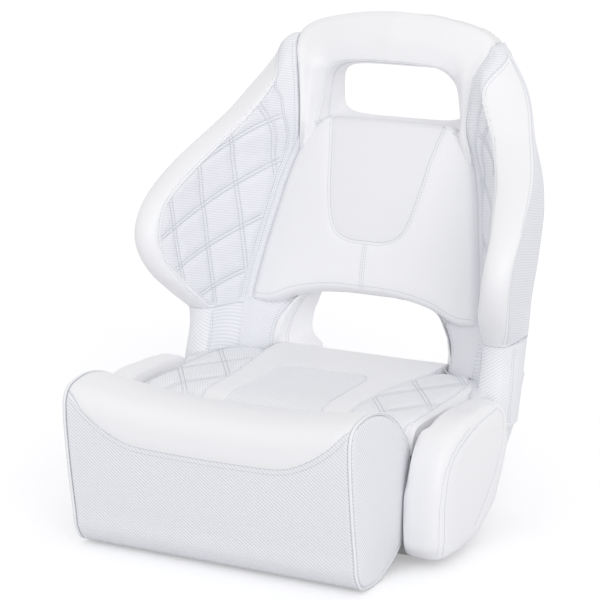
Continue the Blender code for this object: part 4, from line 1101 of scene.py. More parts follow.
@dataclass
class Bolster:
    """The flip-up bolster: a foam body in smooth and ribbed vinyl, its end panels and their piping."""

    shop: Workshop
    depth: float = 0.196
    front: float = -0.329
    bottom: float = 0.002
    dish: float = 0.018
    half_length_share: float = 0.7095
    height_share: float = 0.348
    dish_from: float = 0.45
    end_round: float = 0.004
    piping_radius: float = 0.0024
    piping_sink: float = 0.0018
    panel_thickness: float = 0.0064
    stations: int = 46
    spacing: float = 4.5 * MM
    rear_seam_share: float = 0.66
    # The top swells a little behind its seam: over which way, and by how much
    top_swell: tuple[float, float] = (9 * MM, 0.9 * MM)
    # Width and depth of the dents along the front seam and at both ends, where foam draws the cover in
    seam_dent: tuple[float, float] = (3.5 * MM, 1.1 * MM)
    end_dent: tuple[float, float] = (12 * MM, 0.8 * MM)
    still_edge: float = 6 * MM
    # The domed end panel, ring by ring from its edge: size and how far out, in thicknesses
    panel_shares: tuple = (
        (1.0, 0.0), (1.0, 0.55), (0.992, 0.8), (0.975, 0.94), (0.94, 1.02), (0.86, 1.16), (0.72, 1.38),
        (0.52, 1.58), (0.3, 1.68), (0.1, 1.72),
    )
    # The stretch of the panel's edge that is sewn, on its rear side
    sewn_shares: tuple[float, float] = (0.60, 0.90)
    outline_shares: tuple = (
        (0.342, 0.0), (0.194, 0.03), (0.125, 0.105), (0.097, 0.229), (0.07, 0.35), (0.046, 0.47),
        (0.026, 0.59), (0.01, 0.704), (0.0, 0.818), (0.005, 0.897), (0.036, 0.949), (0.09, 0.978),
        (0.17, 0.993), (0.286, 1.0), (0.403, 0.99), (0.5, 0.972), (0.617, 0.937), (0.71, 0.894),
        (0.786, 0.85), (0.857, 0.794), (0.929, 0.735), (0.964, 0.68), (0.987, 0.6), (1.0, 0.47),
        (0.987, 0.356), (0.959, 0.273), (0.913, 0.194), (0.862, 0.134), (0.776, 0.085), (0.68, 0.05),
        (0.577, 0.022), (0.474, 0.0),
    )
    dish_shares: tuple = (
        (0.0, 1.0), (0.27, 0.97), (0.49, 0.81), (0.67, 0.58), (0.83, 0.33), (0.94, 0.11), (1.0, 0.0),
    )
    # The seam on the front between the smooth top and the ribbed face: half width, height
    seam: tuple = (
        (0.0, 0.1735), (0.07, 0.1745), (0.115, 0.1765), (0.14, 0.1835), (0.165, 0.196), (0.186, 0.2105),
        (0.203, 0.2245), (0.216, 0.24), (0.2245, 0.2485),
    )

    @property
    def half_length(self) -> float:
        """Half the length across the seat."""
        return self.shop.sizes.half_width * self.half_length_share

    @property
    def height(self) -> float:
        """The height of the ends."""
        return self.shop.sizes.height * self.height_share

    def outline(self, x: float) -> np.ndarray:
        """The end outline at a place along the bolster, as y and z, lower in the middle of the seat.

        Args:
            x: the place, from the seat's middle.

        Returns:
            The outline's points.
        """
        dish = read_table(blend_rows(self.dish_shares, 3), abs(x) / self.half_length) * self.dish
        along, up = np.array(self.outline_shares).T
        z = self.bottom + up * self.height - dish * ease(up, self.dish_from, 1.0)
        return np.stack([self.front + along * self.depth, z], axis=1)

    def inset(self, x: float, distance: float) -> np.ndarray:
        """Moves the outline inwards at a place along the bolster.

        Args:
            x: the place.
            distance: how far in.

        Returns:
            The smaller outline, as x, y and z.
        """
        outline = self.outline(x)
        before, after = np.roll(outline, 1, axis=0), np.roll(outline, -1, axis=0)
        area = float((before[:, 0] * outline[:, 1] - outline[:, 0] * before[:, 1]).sum())
        along = unit(after - before)
        inner = outline + np.stack([-along[:, 1], along[:, 0]], axis=1) * math.copysign(distance, area)
        return np.insert(inner, 0, x, axis=1)

    def end_loop(self, x: float, distance: float) -> np.ndarray:
        """Draws the end's outline as a smooth loop.

        Args:
            x: the place of the loop across the seat.
            distance: how far in from the end's outline.

        Returns:
            Places along the loop.
        """
        flat = self.inset(self.half_length, distance)
        flat[:, 0] = x
        return flow(flat[None], [3] * len(flat), closed=True)[0]

    def seam_height(self, x: np.ndarray) -> np.ndarray:
        """The height of the front seam at places along the bolster."""
        rows = np.array(blend_rows(self.seam, 4))
        return np.interp(np.abs(x), rows[:, 0], rows[:, 1])

    def seam_path(self) -> np.ndarray:
        """The front seam as places close to the face."""
        x = np.linspace(-self.half_length + MM, self.half_length - MM, 220)
        return np.stack([x, np.full_like(x, self.front + 4 * MM), self.seam_height(x)], axis=1)

    def rings(self) -> np.ndarray:
        """The sections from the left end to the right, each end rounded by two smaller ones.

        Returns:
            The sections.
        """
        rounding = self.end_round
        half = [(x, 0.0) for x in np.linspace(0, self.half_length - rounding, self.stations)]
        half += [(self.half_length - rounding * 0.4, rounding * 0.12), (self.half_length, rounding * 0.5)]
        both = [(-x, sink) for x, sink in half[:0:-1]] + half
        return even_rings(np.array([self.inset(x, sink) for x, sink in both]), self.spacing)

    def make(self) -> None:
        """Builds the foam body, both end panels and their piping."""
        skin, path = Skin(self.rings()), self.seam_path()
        off = nearness(skin.points, path)
        x, y, z = np.abs(skin.points[..., 0]), skin.points[..., 1], skin.points[..., 2]
        in_front = y < self.front + 0.5 * self.depth
        line = np.where(in_front, self.seam_height(x), self.bottom + self.rear_seam_share * self.height)
        above = z > line
        swell = np.where(in_front & above, ease(off, 0, self.top_swell[0]) * self.top_swell[1], 0.0)
        sink = dent(off, *self.seam_dent) + dent(self.half_length - x, *self.end_dent)
        rest = self.half_length - self.end_round
        skin.push((swell + sink) * (1 - ease(x, rest - self.still_edge, rest)))
        skin.fields["panel"] = np.where(in_front, np.where(above, -off, off), line - z)
        vinyl = MarineVinyl("bolster_marine_vinyl", across=(0.625, 0.0, 0.78), between="#D6D8DE").material()
        cover = skin.build("bolster_cover", vinyl)
        place_cover(cover, Body.BOLSTER, Slot.SMOOTH, 0.9, "bolster_pad")
        sewing = self.shop.sewing(cover, Body.BOLSTER)
        sewing.seam(path, 0.5 * MM, 7.5 * MM)
        sewing.build("bolster")
        for side, word in SIDES:
            self.make_end(side, word)

    def make_end(self, side: int, word: str) -> None:
        """Builds one end panel with its piping and edge stitches.

        Args:
            side: 1 for the right end, -1 for the left.
            word: the side's word in node names.
        """
        gap, radius = self.shop.sizes.gap, self.piping_radius
        base = self.half_length + gap
        edge = self.end_loop(0.0, self.piping_sink + radius + gap)
        rings = []
        for size, out in self.panel_shares:
            ring = edge.mean(axis=0) + (edge - edge.mean(axis=0)) * size
            ring[:, 0] = side * (base + self.panel_thickness * out)
            rings.append(ring)
        skin = Skin(np.array(rings))
        skin.cover_with(RIBBED_ALL)
        twill = MarineVinyl(
            "end_panel_marine_vinyl_" + word, across=(0.0, -0.63, 0.777), rib_spacing=4.6 * MM,
        )
        panel = skin.build("bolster_end_cover_" + word, twill.material())
        place_cover(panel, Body.BOLSTER, Slot.TWILL, 0.95, "bolster_end_panel_" + word)
        sewing = self.shop.sewing(panel, Body.BOLSTER)
        first, last = (int(len(edge) * share) for share in self.sewn_shares)
        sewing.sew(rings[4][first:last])
        sewing.build("bolster_end_" + word)
        ring = self.end_loop(side * (base + radius), self.piping_sink)
        cord = [(np.concatenate([ring, ring[:2]]), radius)]
        piping = tubes("bolster_piping_cord_" + word, cord, 10, self.shop.smooth)
        piping.data.attributes.new("panel", "FLOAT", "POINT").data.foreach_set(
            "value", np.full(len(piping.data.vertices), SMOOTH_ALL, np.float32))
        place_cover(piping, Body.BOLSTER, Slot.SMOOTH, 1.0, "bolster_piping_" + word)
        # Dark tubes on both sides of the piping cord: painted shade in the crevices beside it
        seam_shades = []
        for x, sink in ((base + 0.2 * MM, 0.9 * MM), (base + 2 * radius - 0.1 * MM, 1.6 * MM)):
            line = self.end_loop(side * x, sink)
            seam_shades.append((np.concatenate([line, line[:2]]), 0.65 * MM))
        shade = tubes("bolster_piping_shade_lines_" + word, seam_shades, 5, self.shop.seam_shade)
        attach(shade, Body.BOLSTER.value)


@dataclass(frozen=True)
class Padding:
    """The padding of a quilted panel: how it rises from its sewn lines and from its border."""

    # Where it starts to rise from a line and where it is full, then the same from the border
    line: tuple[float, float]
    border: tuple[float, float]
    depth: float
    lift: float

    def relief(self, offs: Sequence[np.ndarray], reach: np.ndarray) -> np.ndarray:
        """Gives the height of the padding.

        Args:
            offs: the distances from both sets of lines.
            reach: the distance from the border.

        Returns:
            How far each point moves out.
        """
        puff = ease(offs[0], *self.line) * ease(offs[1], *self.line) * ease(reach, *self.border)
        return -self.depth * (1 - puff) + self.lift


@dataclass
class SeatCushion:
    """The seat cushion: smooth centre with a ribbed inlay, quilted ribbed sides and a waterfall front."""

    shop: Workshop
    half_width_share: float = 0.773
    crown: float = 0.0025
    dip: float = 0.005
    rear_share: float = 0.715
    corner: float = 0.036
    corner_drop: float = 0.022
    rear_lean: float = 0.0095
    spacing: float = 3.4 * MM
    section_shares: tuple = (
        (0.0, 0.0, 1.0, 1.0, 0.0), (0.25, 0.0, 1.0, 1.0, 0.0), (0.47, 0.0, 1.0, 1.0, 0.0),
        (0.591, 0.0, 0.995, 1.0, 0.0), (0.606, 0.0, 0.735, 1.0, 0.0), (0.72, 0.0, 0.735, 0.998, 0.0),
        (0.8, 0.0, 0.733, 0.99, 0.0), (0.85, 0.0, 0.69, 0.972, 0.0), (0.885, 0.03, 0.62, 0.948, 0.01),
        (0.915, 0.06, 0.545, 0.905, 0.04), (0.938, 0.14, 0.48, 0.82, 0.12),
        (0.943, 2.75, 0.465, 0.79, 0.14), (0.972, 3.1, 0.4, 0.67, 0.18), (1.0, 3.7, 0.27, 0.48, 0.26),
    )
    # The sections, from left to right, where the rear steps back for the legs and the front for the hinges
    sharp_sections: tuple[int, ...] = (2, 3, 9, 10, 16, 17, 23, 24)
    # Seams on the top, as x and y of the right side
    quilt_seam: tuple = ((0.121, -0.14), (0.121, -0.02), (0.129, 0.045), (0.138, 0.096), (0.152, 0.165))
    edge_seam: tuple = (
        (0.2205, -0.14), (0.2205, 0.0), (0.219, 0.06), (0.214, 0.105), (0.2, 0.145), (0.176, 0.168),
        (0.152, 0.165),
    )
    inlay: tuple = (
        (0.077, -0.14), (0.077, -0.03), (0.0765, 0.018), (0.074, 0.044), (0.064, 0.058), (0.042, 0.0635),
        (0.0, 0.0645),
    )
    # Between the inlay and the quilted sides
    inlay_limit: float = 0.100
    padding: Padding = Padding((3 * MM, 15 * MM), (1 * MM, 9 * MM), 2.0 * MM, 0.8 * MM)
    # Width and depth of the dents along the seams, and how far in and how deep the inlay sinks
    seam_dent: tuple[float, float] = (4 * MM, 1.2 * MM)
    inlay_sink: tuple[float, float] = (6 * MM, 0.8 * MM)
    # The seams' painted shade lines and welts: radius, then radius and how far beside the seam
    crease: float = 0.4 * MM
    welt: tuple[float, float] = (1.1 * MM, 1.3 * MM)
    fine_thread: float = 0.27 * MM
    # The low pads in the rear corners: the right one's outline as x and y, and the rings as size and height
    ledge_plan: tuple = (
        (0.196, 0.148), (0.204, 0.137), (0.211, 0.123), (0.218, 0.105), (0.226, 0.088), (0.236, 0.06),
        (0.245, 0.05), (0.248, 0.08), (0.248, 0.115), (0.236, 0.132), (0.215, 0.156),
    )
    ledge_rings: tuple = ((1.0, 0.152), (1.0, 0.188), (0.97, 0.1915), (0.88, 0.1935), (0.5, 0.1945))
    # Which way the ribs of each panel are counted, along x and y, and their spacing
    inlay_ribs: tuple[float, float, float] = (0.72, 0.69, 0.0034)
    left_ribs: tuple[float, float, float] = (0.889, 0.457, 0.0036)
    right_ribs: tuple[float, float, float] = (0.30, 0.954, 0.0036)
    # Quilted lines on the top: slope, first line and the step between lines along y
    lines_a: tuple = (-1.42, 0.0115, 0.1285)
    lines_b: tuple = (1.50, -0.343, 0.127)

    @property
    def half_width(self) -> float:
        """Half the cushion's width."""
        return self.shop.sizes.half_width * self.half_width_share

    def section(self, x: float, shares: Sequence[float]) -> list[tuple[float, float]]:
        """One side view section.

        Args:
            x: the place across the seat.
            shares: the section's row of shares.

        Returns:
            Its places as y and z.
        """
        s = self.shop.sizes
        _, setback, rear_share, height_share, bottom_share = shares
        floor = s.deck + s.board + s.gap * 2
        side_height = s.cushion_top - floor
        top, bottom = floor + height_share * side_height, floor + bottom_share * side_height
        radius = min(s.waterfall, (top - bottom) * 0.75)
        front = s.pivot_y - s.waterfall + setback * s.waterfall
        rear = rear_share * self.rear_share * s.reach
        quarter = [math.pi / 2 * k / 4 for k in range(5)]
        points = [(front, bottom)]
        for angle in quarter:
            points.append((front + radius - radius * math.cos(angle), top - radius + radius * math.sin(angle)))
        flat_start, flat_end = front + radius, rear - self.corner
        middle = max(0.0, 1 - (x / self.half_width) ** 2)
        for t in (k / 6 for k in range(1, 6)):
            swell = (self.crown * math.sin(math.pi * t) - self.dip * t * t) * middle
            points.append((flat_start + (flat_end - flat_start) * t, top + swell))
        drop = min(self.corner_drop, (top - bottom) * 0.7)
        for angle in quarter:
            fall = self.dip * middle + drop * (1 - math.cos(angle))
            points.append((flat_end + self.corner * math.sin(angle), top - fall))
        points.append((rear - self.rear_lean, bottom))
        return points

    def on_top(self, places: Sequence[Sequence[float]], side: int) -> np.ndarray:
        """A curve above the cushion through x and y places, on a side."""
        path = curve_through([(x, y, self.shop.sizes.cushion_top) for x, y in places])
        return mirrored(path, side)

    def rings(self) -> np.ndarray:
        """The sections from left to right, at an even spacing.

        Returns:
            The sections.
        """
        rows = self.section_shares
        sections = []
        for place, row in [(-row[0], row) for row in rows[:0:-1]] + [(row[0], row) for row in rows]:
            x = place * self.half_width
            sections.append([(x, y, z) for y, z in self.section(x, row)])
        rough = loft_rows(np.array(sections), self.spacing, self.sharp_sections)
        return even_rings(rough, self.spacing, (0, 1, 16))

    def make(self) -> None:
        """Builds the cushion with its inlay, quilting and seams."""
        points = self.rings()
        x, y = np.abs(points[..., 0]), points[..., 1]
        flat = np.stack([x, y], axis=-1)
        quilt_path, edge_path, inlay_path = (
            self.on_top(seam, 1)[:, :2] for seam in (self.quilt_seam, self.edge_seam, self.inlay)
        )
        near_quilt, near_inlay = nearness(flat, quilt_path), nearness(flat, inlay_path)
        reach = np.minimum(near_quilt, nearness(flat, edge_path))
        top_side = self.upper(points)
        inner_x = np.interp(y, quilt_path[:, 1], quilt_path[:, 0])
        within = (x > inner_x) & self.inside(flat, edge_path, quilt_path) & top_side
        lines, offs, spacings = [], [], []
        for slope, first, step in (self.lines_a, self.lines_b):
            lines.append((y - slope * x - first) / step)
            spacings.append(step / math.hypot(1, slope))
            offs.append(off_line(lines[-1]) * spacings[-1])
        relief = np.where(within, self.padding.relief(offs, reach), 0.0)
        for side, _ in SIDES:
            for seam in (quilt_path, edge_path, inlay_path):
                relief += dent(nearness(points[..., :2], seam * (side, 1)), *self.seam_dent) * top_side
        in_inlay = (x < np.interp(y, inlay_path[:, 1], inlay_path[:, 0], right=-1)) & top_side
        relief += np.where(in_inlay, -self.inlay_sink[1] * ease(near_inlay, 0, self.inlay_sink[0]), 0.0)
        skin = Skin(points)
        skin.push(relief)
        # Far from a border the attribute only has to stay below nought
        plain = -np.minimum(np.where(x < self.inlay_limit, near_inlay, near_quilt), 20 * MM)
        signed = np.where(in_inlay, near_inlay, np.where(within & (x >= self.inlay_limit), reach, plain))
        skin.fields["panel"] = np.where(top_side, signed, SMOOTH_ALL)
        skin.fields["quilt"] = ease(np.where(within, reach, 0), 0, 4 * MM)
        skin.fields["line_a"], skin.fields["line_b"] = lines
        middle, left, right = (
            (points[..., 0] * a + y * b) / pitch
            for a, b, pitch in (self.inlay_ribs, self.left_ribs, self.right_ribs)
        )
        sides = np.where(points[..., 0] < 0, left, right)
        skin.fields["phase"] = np.where(x < self.inlay_limit, middle, sides)
        vinyl = MarineVinyl(
            "seat_cushion_marine_vinyl", rib_depth=0.2 * MM, quilted=True, phased=True, between="#E3E5EA",
            quilt_spacings=tuple(spacings),
        ).material()
        cover = skin.build("seat_cushion_cover", vinyl)
        place_cover(cover, Body.SEAT, Slot.SMOOTH, 0.85, "seat_cushion")
        self.sew(cover)
        self.make_ledges()

    def upper(self, points: np.ndarray) -> np.ndarray:
        """Tells which points look up, on the cushion's top and its front roll."""
        s = self.shop.sizes
        return points[..., 2] > s.deck + s.board + 0.35 * (s.cushion_top - s.deck - s.board)

    def inside(self, flat: np.ndarray, outer: np.ndarray, inner: np.ndarray) -> np.ndarray:
        """Tells which places lie within the quilted side panel.

        Args:
            flat: x and y places.
            outer: the panel's outer seam.
            inner: its inner seam.

        Returns:
            True inside the loop of both seams.
        """
        loop = np.concatenate([inner, outer[::-1]])
        x, y = flat[..., 0], flat[..., 1]
        within = np.zeros(x.shape, bool)
        for (x0, y0), (x1, y1) in zip(loop, np.roll(loop, -1, axis=0)):
            crosses = (y0 > y) != (y1 > y)
            if y1 != y0:
                within ^= crosses & (x < (x1 - x0) * (y - y0) / (y1 - y0) + x0)
        return within

    def sew(self, cover: bpy.types.Object) -> None:
        """Sews the seams, welts and quilted lines.

        Args:
            cover: the cushion's cover.
        """
        sewing = self.shop.sewing(cover, Body.SEAT)
        sewing.thread_radius = self.fine_thread
        radius, offset = self.welt
        for side, _ in SIDES:
            for places in (self.quilt_seam, self.edge_seam):
                path = self.on_top(places, side)
                sewing.crease(path, self.crease)
                sewing.pipe(path, radius, offset * side)
            self.quilt(sewing, side)
        around = self.on_top(list(self.inlay) + [(-x, y) for x, y in self.inlay[-2::-1]], 1)
        sewing.crease(around, self.crease)
        sewing.pipe(around, radius, -offset)
        sewing.build("seat_cushion")

    def make_ledges(self) -> None:
        """Builds the low ribbed pads that fill the corners between the cushion, the necks and the hips."""
        plan = np.array(self.ledge_plan)
        middle = plan.mean(axis=0)
        rough = np.array([
            np.insert(middle + (plan - middle) * size, 2, z, axis=1) for size, z in self.ledge_rings
        ])
        fine = even_rings(rough, 3 * MM)
        for side, word in SIDES:
            skin = Skin(mirrored(fine, side))
            skin.cover_with(RIBBED_ALL)
            twill = MarineVinyl(
                "corner_marine_vinyl_" + word, across=(-0.4 * side, 0.9, 0.3), rib_spacing=3.6 * MM,
            )
            cover = skin.build("corner_pad_" + word, twill.material())
            place_cover(cover, Body.SEAT, Slot.TWILL, 0.9)

    def quilt(self, sewing: Sewing, side: int) -> None:
        """Sews the double lines of one quilted side.

        Args:
            sewing: the cushion's sewing.
            side: 1 for the right side, -1 for the left.
        """
        outer, inner = self.on_top(self.edge_seam, 1)[:, :2], self.on_top(self.quilt_seam, 1)[:, :2]
        # Places across one side, and the front end of the sewing, on the roll of the cushion
        x, front = np.linspace(0.10, 0.23, 90), -0.118
        for slope, first, step in (self.lines_a, self.lines_b):
            for k in range(-1, 5):
                y = slope * x + first + step * k
                keep = self.inside(np.stack([x, y], axis=1), outer, inner) & (y > front)
                if keep.sum() >= 8:
                    line = np.stack([x, y, np.full_like(x, self.shop.sizes.cushion_top)], axis=1)[keep]
                    sewing.sew_double(mirrored(line, side))


@dataclass
class HipPads:
    """The padded sides of the base, in smooth vinyl with two curved seams each."""

    shop: Workshop
    inner_share: float = 0.7295
    hinge_room: float = 0.0167
    outer_share: float = 0.9524
    height_share: float = 0.2834
    front: float = -0.176
    rear_share: float = 0.4133
    outline_shares: tuple = (
        (0.06, 0.02), (0.018, 0.1), (0.002, 0.25), (0.0, 0.44), (0.014, 0.64), (0.058, 0.81), (0.132, 0.92),
        (0.25, 0.982), (0.4, 1.0), (0.55, 0.99), (0.7, 0.985), (0.82, 0.965), (0.91, 0.905), (0.975, 0.81),
        (1.0, 0.7), (0.965, 0.53), (0.9, 0.37), (0.81, 0.22), (0.69, 0.12), (0.57, 0.045), (0.46, 0.002),
        (0.33, 0.0), (0.2, 0.0), (0.12, 0.0),
    )
    ring_shares: tuple = (
        (0.0, 0.962), (0.04, 0.988), (0.14, 0.999), (0.3, 1.0), (0.54, 1.0), (0.74, 0.982), (0.88, 0.925),
        (0.96, 0.81), (1.0, 0.56), (1.02, 0.3), (1.024, 0.1),
    )
    # The pad reaches in beside the bolster, past the hinge, and more so below the arms
    reach_in: tuple[float, float] = (0.0075, 0.0045)
    lift: float = 0.012
    # How far forward of its CAD solid the rear edge lies, by height, as the photograph shows
    trims: tuple = (
        (0.0, 0.018), (0.009, 0.028), (0.025, 0.034), (0.045, 0.038), (0.075, 0.045), (0.15, 0.044),
        (0.19, 0.03), (0.206, 0.026),
    )
    # Seams on the outside, as y and z
    front_seam: tuple = (
        (0.03, 0.2), (-0.046, 0.1917), (-0.1, 0.18), (-0.128, 0.168), (-0.1515, 0.144), (-0.1625, 0.104),
        (-0.165, 0.016),
    )
    rear_seam: tuple = (
        (0.03, 0.2), (0.046, 0.178), (0.045, 0.15), (0.032, 0.125), (0.012, 0.098), (-0.02, 0.07),
        (-0.058, 0.04),
    )
    # Width and depth of the dents along the seams
    seam_dent: tuple[float, float] = (5 * MM, 1.5 * MM)

    @property
    def inner(self) -> float:
        """How far from the middle of the seat the pad starts."""
        return self.shop.sizes.half_width * self.inner_share + self.hinge_room

    @property
    def thickness(self) -> float:
        """The pad's size across the seat."""
        return self.shop.sizes.half_width * self.outer_share - self.inner

    def rings(self) -> np.ndarray:
        """The right pad's outlines, from its inner face to its outer one.

        Returns:
            The outlines.
        """
        s = self.shop.sizes
        length, height = s.reach * self.rear_share - self.front, s.height * self.height_share
        outline = np.array([(0, self.front + a * length, b * height) for a, b in self.outline_shares])
        centre = np.array([0, self.front + length / 2, height / 2])
        rings = []
        for out, size in self.ring_shares:
            ring = centre + (outline - centre) * size
            ring[:, 0] = self.inner + out * self.thickness
            rings.append(ring)
        rough = loft_rows(np.array(rings), 4 * MM)
        fine = flow(rough, even_steps(rough[10:11], 4.5 * MM, True), closed=True)
        share = np.clip((fine[..., 0] - self.inner) / self.thickness, 0, 1)
        ahead = ease(-fine[..., 1], 0.112, 0.128)
        low = 1 - ease(fine[..., 2], 0.105, 0.135)
        fine[..., 0] -= ahead * (self.reach_in[0] + self.reach_in[1] * low) * (1 - share)
        trim = np.interp(fine[..., 2], *np.array(self.trims).T)
        fine[..., 1] -= trim * ease(fine[..., 1], -0.12, 0.05)
        fine[..., 2] += self.lift * (1 - ease(fine[..., 2], 0.0, 0.07))
        return fine

    def make(self) -> None:
        """Builds both pads."""
        fine = self.rings()
        for side, word in SIDES:
            skin = Skin(mirrored(fine, side))
            across = (np.abs(skin.points[..., 0]) - self.inner) / self.thickness
            paths = []
            relief = np.zeros(fine.shape[:2])
            for seam in (self.front_seam, self.rear_seam):
                paths.append(curve_through([(side * (self.inner + self.thickness), y, z) for y, z in seam]))
                off = nearness(skin.points[..., 1:], paths[-1][:, 1:])
                relief += dent(off, *self.seam_dent) * ease(across, 0.3, 0.6)
            skin.push(relief)
            skin.cover_with(SMOOTH_ALL)
            cover = skin.build("hip_cover_" + word, self.shop.smooth)
            place_cover(cover, Body.SEAT, Slot.SMOOTH, 0.85, "hip_pad_" + word)
            sewing = self.shop.sewing(cover, Body.SEAT)
            for path in paths:
                sewing.crease(path, 0.3 * MM)
                sewing.pipe(path, 0.7 * MM, -0.9 * MM * side)
            sewing.sew(paths[0][len(paths[0]) // 3:], 8.5 * MM * side)
            sewing.build("hip_" + word)


@dataclass
class Wings:
    """The wings: quilted ribbed inside, smooth front roll, ribbed side and back, on ribbed necks."""

    shop: Workshop
    roll_bulge: float = 0.021
    wing_swell: float = 0.002
    neck_swell: float = 0.009
    hollow_share: float = 0.05
    wing_shares: tuple = (
        (0.3603, 0.651, 0.567, 0.733, 0.383, 0.863, 0.36, 0.87, 0.64),
        (0.399, 0.644, 0.597, 0.762, 0.283, 0.911, 0.273, 0.873, 0.653),
        (0.442, 0.632, 0.63, 0.797, 0.18, 0.949, 0.177, 0.876, 0.667),
        (0.481, 0.616, 0.663, 0.829, 0.107, 0.975, 0.113, 0.883, 0.687),
        (0.523, 0.6, 0.697, 0.851, 0.073, 0.994, 0.08, 0.889, 0.71),
        (0.564, 0.581, 0.73, 0.857, 0.083, 1.0, 0.103, 0.892, 0.733),
        (0.607, 0.562, 0.767, 0.851, 0.147, 0.997, 0.19, 0.892, 0.76),
        (0.648, 0.54, 0.803, 0.816, 0.26, 0.978, 0.307, 0.883, 0.78),
        (0.686, 0.511, 0.837, 0.775, 0.393, 0.949, 0.447, 0.87, 0.79),
        (0.725, 0.476, 0.833, 0.721, 0.513, 0.898, 0.597, 0.851, 0.787),
        (0.77, 0.463, 0.81, 0.657, 0.633, 0.829, 0.747, 0.81, 0.82),
        (0.817, 0.47, 0.82, 0.59, 0.71, 0.771, 0.87, 0.762, 0.9),
        (0.856, 0.479, 0.83, 0.552, 0.76, 0.714, 0.947, 0.708, 0.973),
        (0.891, 0.495, 0.847, 0.543, 0.81, 0.657, 0.977, 0.654, 1.003),
        (0.922, 0.527, 0.913, 0.559, 0.893, 0.603, 0.987, 0.6, 1.013),
        (0.938, 0.527, 0.95, 0.535, 0.943, 0.549, 0.983, 0.546, 1.007),
    )
    # The neck runs on below its CAD solid, over the top of the base's side
    neck_shares: tuple = (
        (0.19, 0.644, 0.5, 0.736, 0.32, 0.856, 0.325, 0.858, 0.555),
        (0.22, 0.644, 0.495, 0.736, 0.312, 0.86, 0.312, 0.862, 0.57),
        (0.25, 0.644, 0.49, 0.735, 0.32, 0.862, 0.314, 0.864, 0.585),
        (0.2813, 0.644, 0.495, 0.734, 0.344, 0.858, 0.332, 0.866, 0.6),
        (0.323, 0.648, 0.537, 0.733, 0.373, 0.852, 0.352, 0.867, 0.622),
        (0.3599, 0.651, 0.567, 0.733, 0.383, 0.858, 0.357, 0.87, 0.64),
    )
    roll_shares: tuple = (
        (0.28, 0.35), (0.36, 0.4), (0.4, 0.75), (0.44, 1.0), (0.6, 1.0), (0.65, 0.8), (0.69, 0.6),
        (0.725, 0.48), (0.77, 0.42), (0.82, 0.38), (0.94, 0.3),
    )
    # How wide the plain ribbed strip beside the back is: height share, width
    gusset: tuple = (
        (0.36, 0.007), (0.43, 0.007), (0.546, 0.006), (0.662, 0.008), (0.714, 0.015), (0.772, 0.024),
        (0.846, 0.03), (0.94, 0.034),
    )
    # Quilted lines in side view. Rising lines: height at the datum y, its slope, step and the step's slope.
    # Falling lines: y at the datum z, its slope, step and how they bend forward above the bend's height
    rising: tuple = (0.290, 0.30, 0.0665, 0.075)
    falling: tuple = (0.053, -0.065, 0.0605, 3.0)
    datum_y: float = 0.1
    datum_z: float = 0.4
    bend_z: float = 0.5
    # How the way across a rising and a falling line compares with its step in side view
    line_slants: tuple[float, float] = (0.95, 1.08)
    padding: Padding = Padding((3.2 * MM, 14 * MM), (0.5 * MM, 9 * MM), 2.6 * MM, 0.6 * MM)
    # Width and depth of the dents along the strip, the roll's inner seam and its outer seam
    gusset_dent: tuple[float, float] = (3.5 * MM, 1.6 * MM)
    roll_dent: tuple[float, float] = (4 * MM, 1.6 * MM)
    outer_dent: tuple[float, float] = (4 * MM, 1.2 * MM)
    roll_swell: tuple[float, float] = (10 * MM, 0.8 * MM)
    # The heights over which the strip takes up the inner side, and over which the smooth roll ends
    closing_z: tuple[float, float] = (0.585, 0.622)
    ending_z: tuple[float, float] = (0.612, 0.678)
    ending_power: float = 2.2
    ended: float = 0.97
    # The columns of the root, inner seam, outer seam, rear corner and end in a ring
    corners: tuple[int, ...] = (0, 4, 10, 13, 15)

    def ring(self, row: Sequence[float], swell: float) -> list[tuple[float, float, float]]:
        """One level section of the right wing or neck, from the root round the front roll to the rear.

        Args:
            row: the height, then the places of the root, inner seam, outer seam and rear corner.
            swell: how far the side stands out.

        Returns:
            The section's places.
        """
        z, root_x, root_y, in_x, in_y, out_x, out_y, rear_x, corner_y = row
        root, inner, outer = Vector((root_x, root_y)), Vector((in_x, in_y)), Vector((out_x, out_y))
        corner, end = Vector((rear_x, corner_y)), Vector((root_x, self.shop.sizes.rear_y(z)))
        across = outer - inner
        ahead = Vector((across.y, -across.x)).normalized()
        fullness = read_table(self.roll_shares, z / self.shop.sizes.height)
        bulge = min(fullness * self.roll_bulge, across.length / 2)
        hollow = (inner - root).length * self.hollow_share
        side_way = Vector(((inner - root).y, -(inner - root).x)).normalized()
        points = [root]
        points += [root.lerp(inner, t) - side_way * hollow * math.sin(math.pi * t) for t in (0.25, 0.5, 0.75)]
        points.append(inner)
        points += [inner.lerp(outer, 0.5 - 0.5 * math.cos(a)) + ahead * bulge * math.sin(a) ** (2 - fullness)
                   for a in (math.pi * k / 6 for k in range(1, 6))]
        points.append(outer)
        points.append(outer.lerp(corner, 0.35) + Vector((swell, 0)))
        points.append(outer.lerp(corner, 0.7) + Vector((swell * 0.9, 0)))
        points.append(corner)
        points.append(Vector((corner.x * 0.62 + end.x * 0.38, corner.y * 0.35 + end.y * 0.65)))
        points.append(Vector((corner.x * 0.3 + end.x * 0.7, corner.y * 0.08 + end.y * 0.92)))
        points.append(end)
        return [(point.x, point.y, z) for point in points]

    def rings(self, shares: Sequence[Sequence[float]], swell: float) -> np.ndarray:
        """The sections of a table of shares, with one more between each two.

        Args:
            shares: the table.
            swell: how far the middle of each section swells.

        Returns:
            The sections.
        """
        s = self.shop.sizes
        w, r = s.half_width, s.reach
        rows = blend_rows(scaled(shares, s.height, w, r, w, r, w, r, w, r), 2)
        return np.array([self.ring(row, swell) for row in rows])

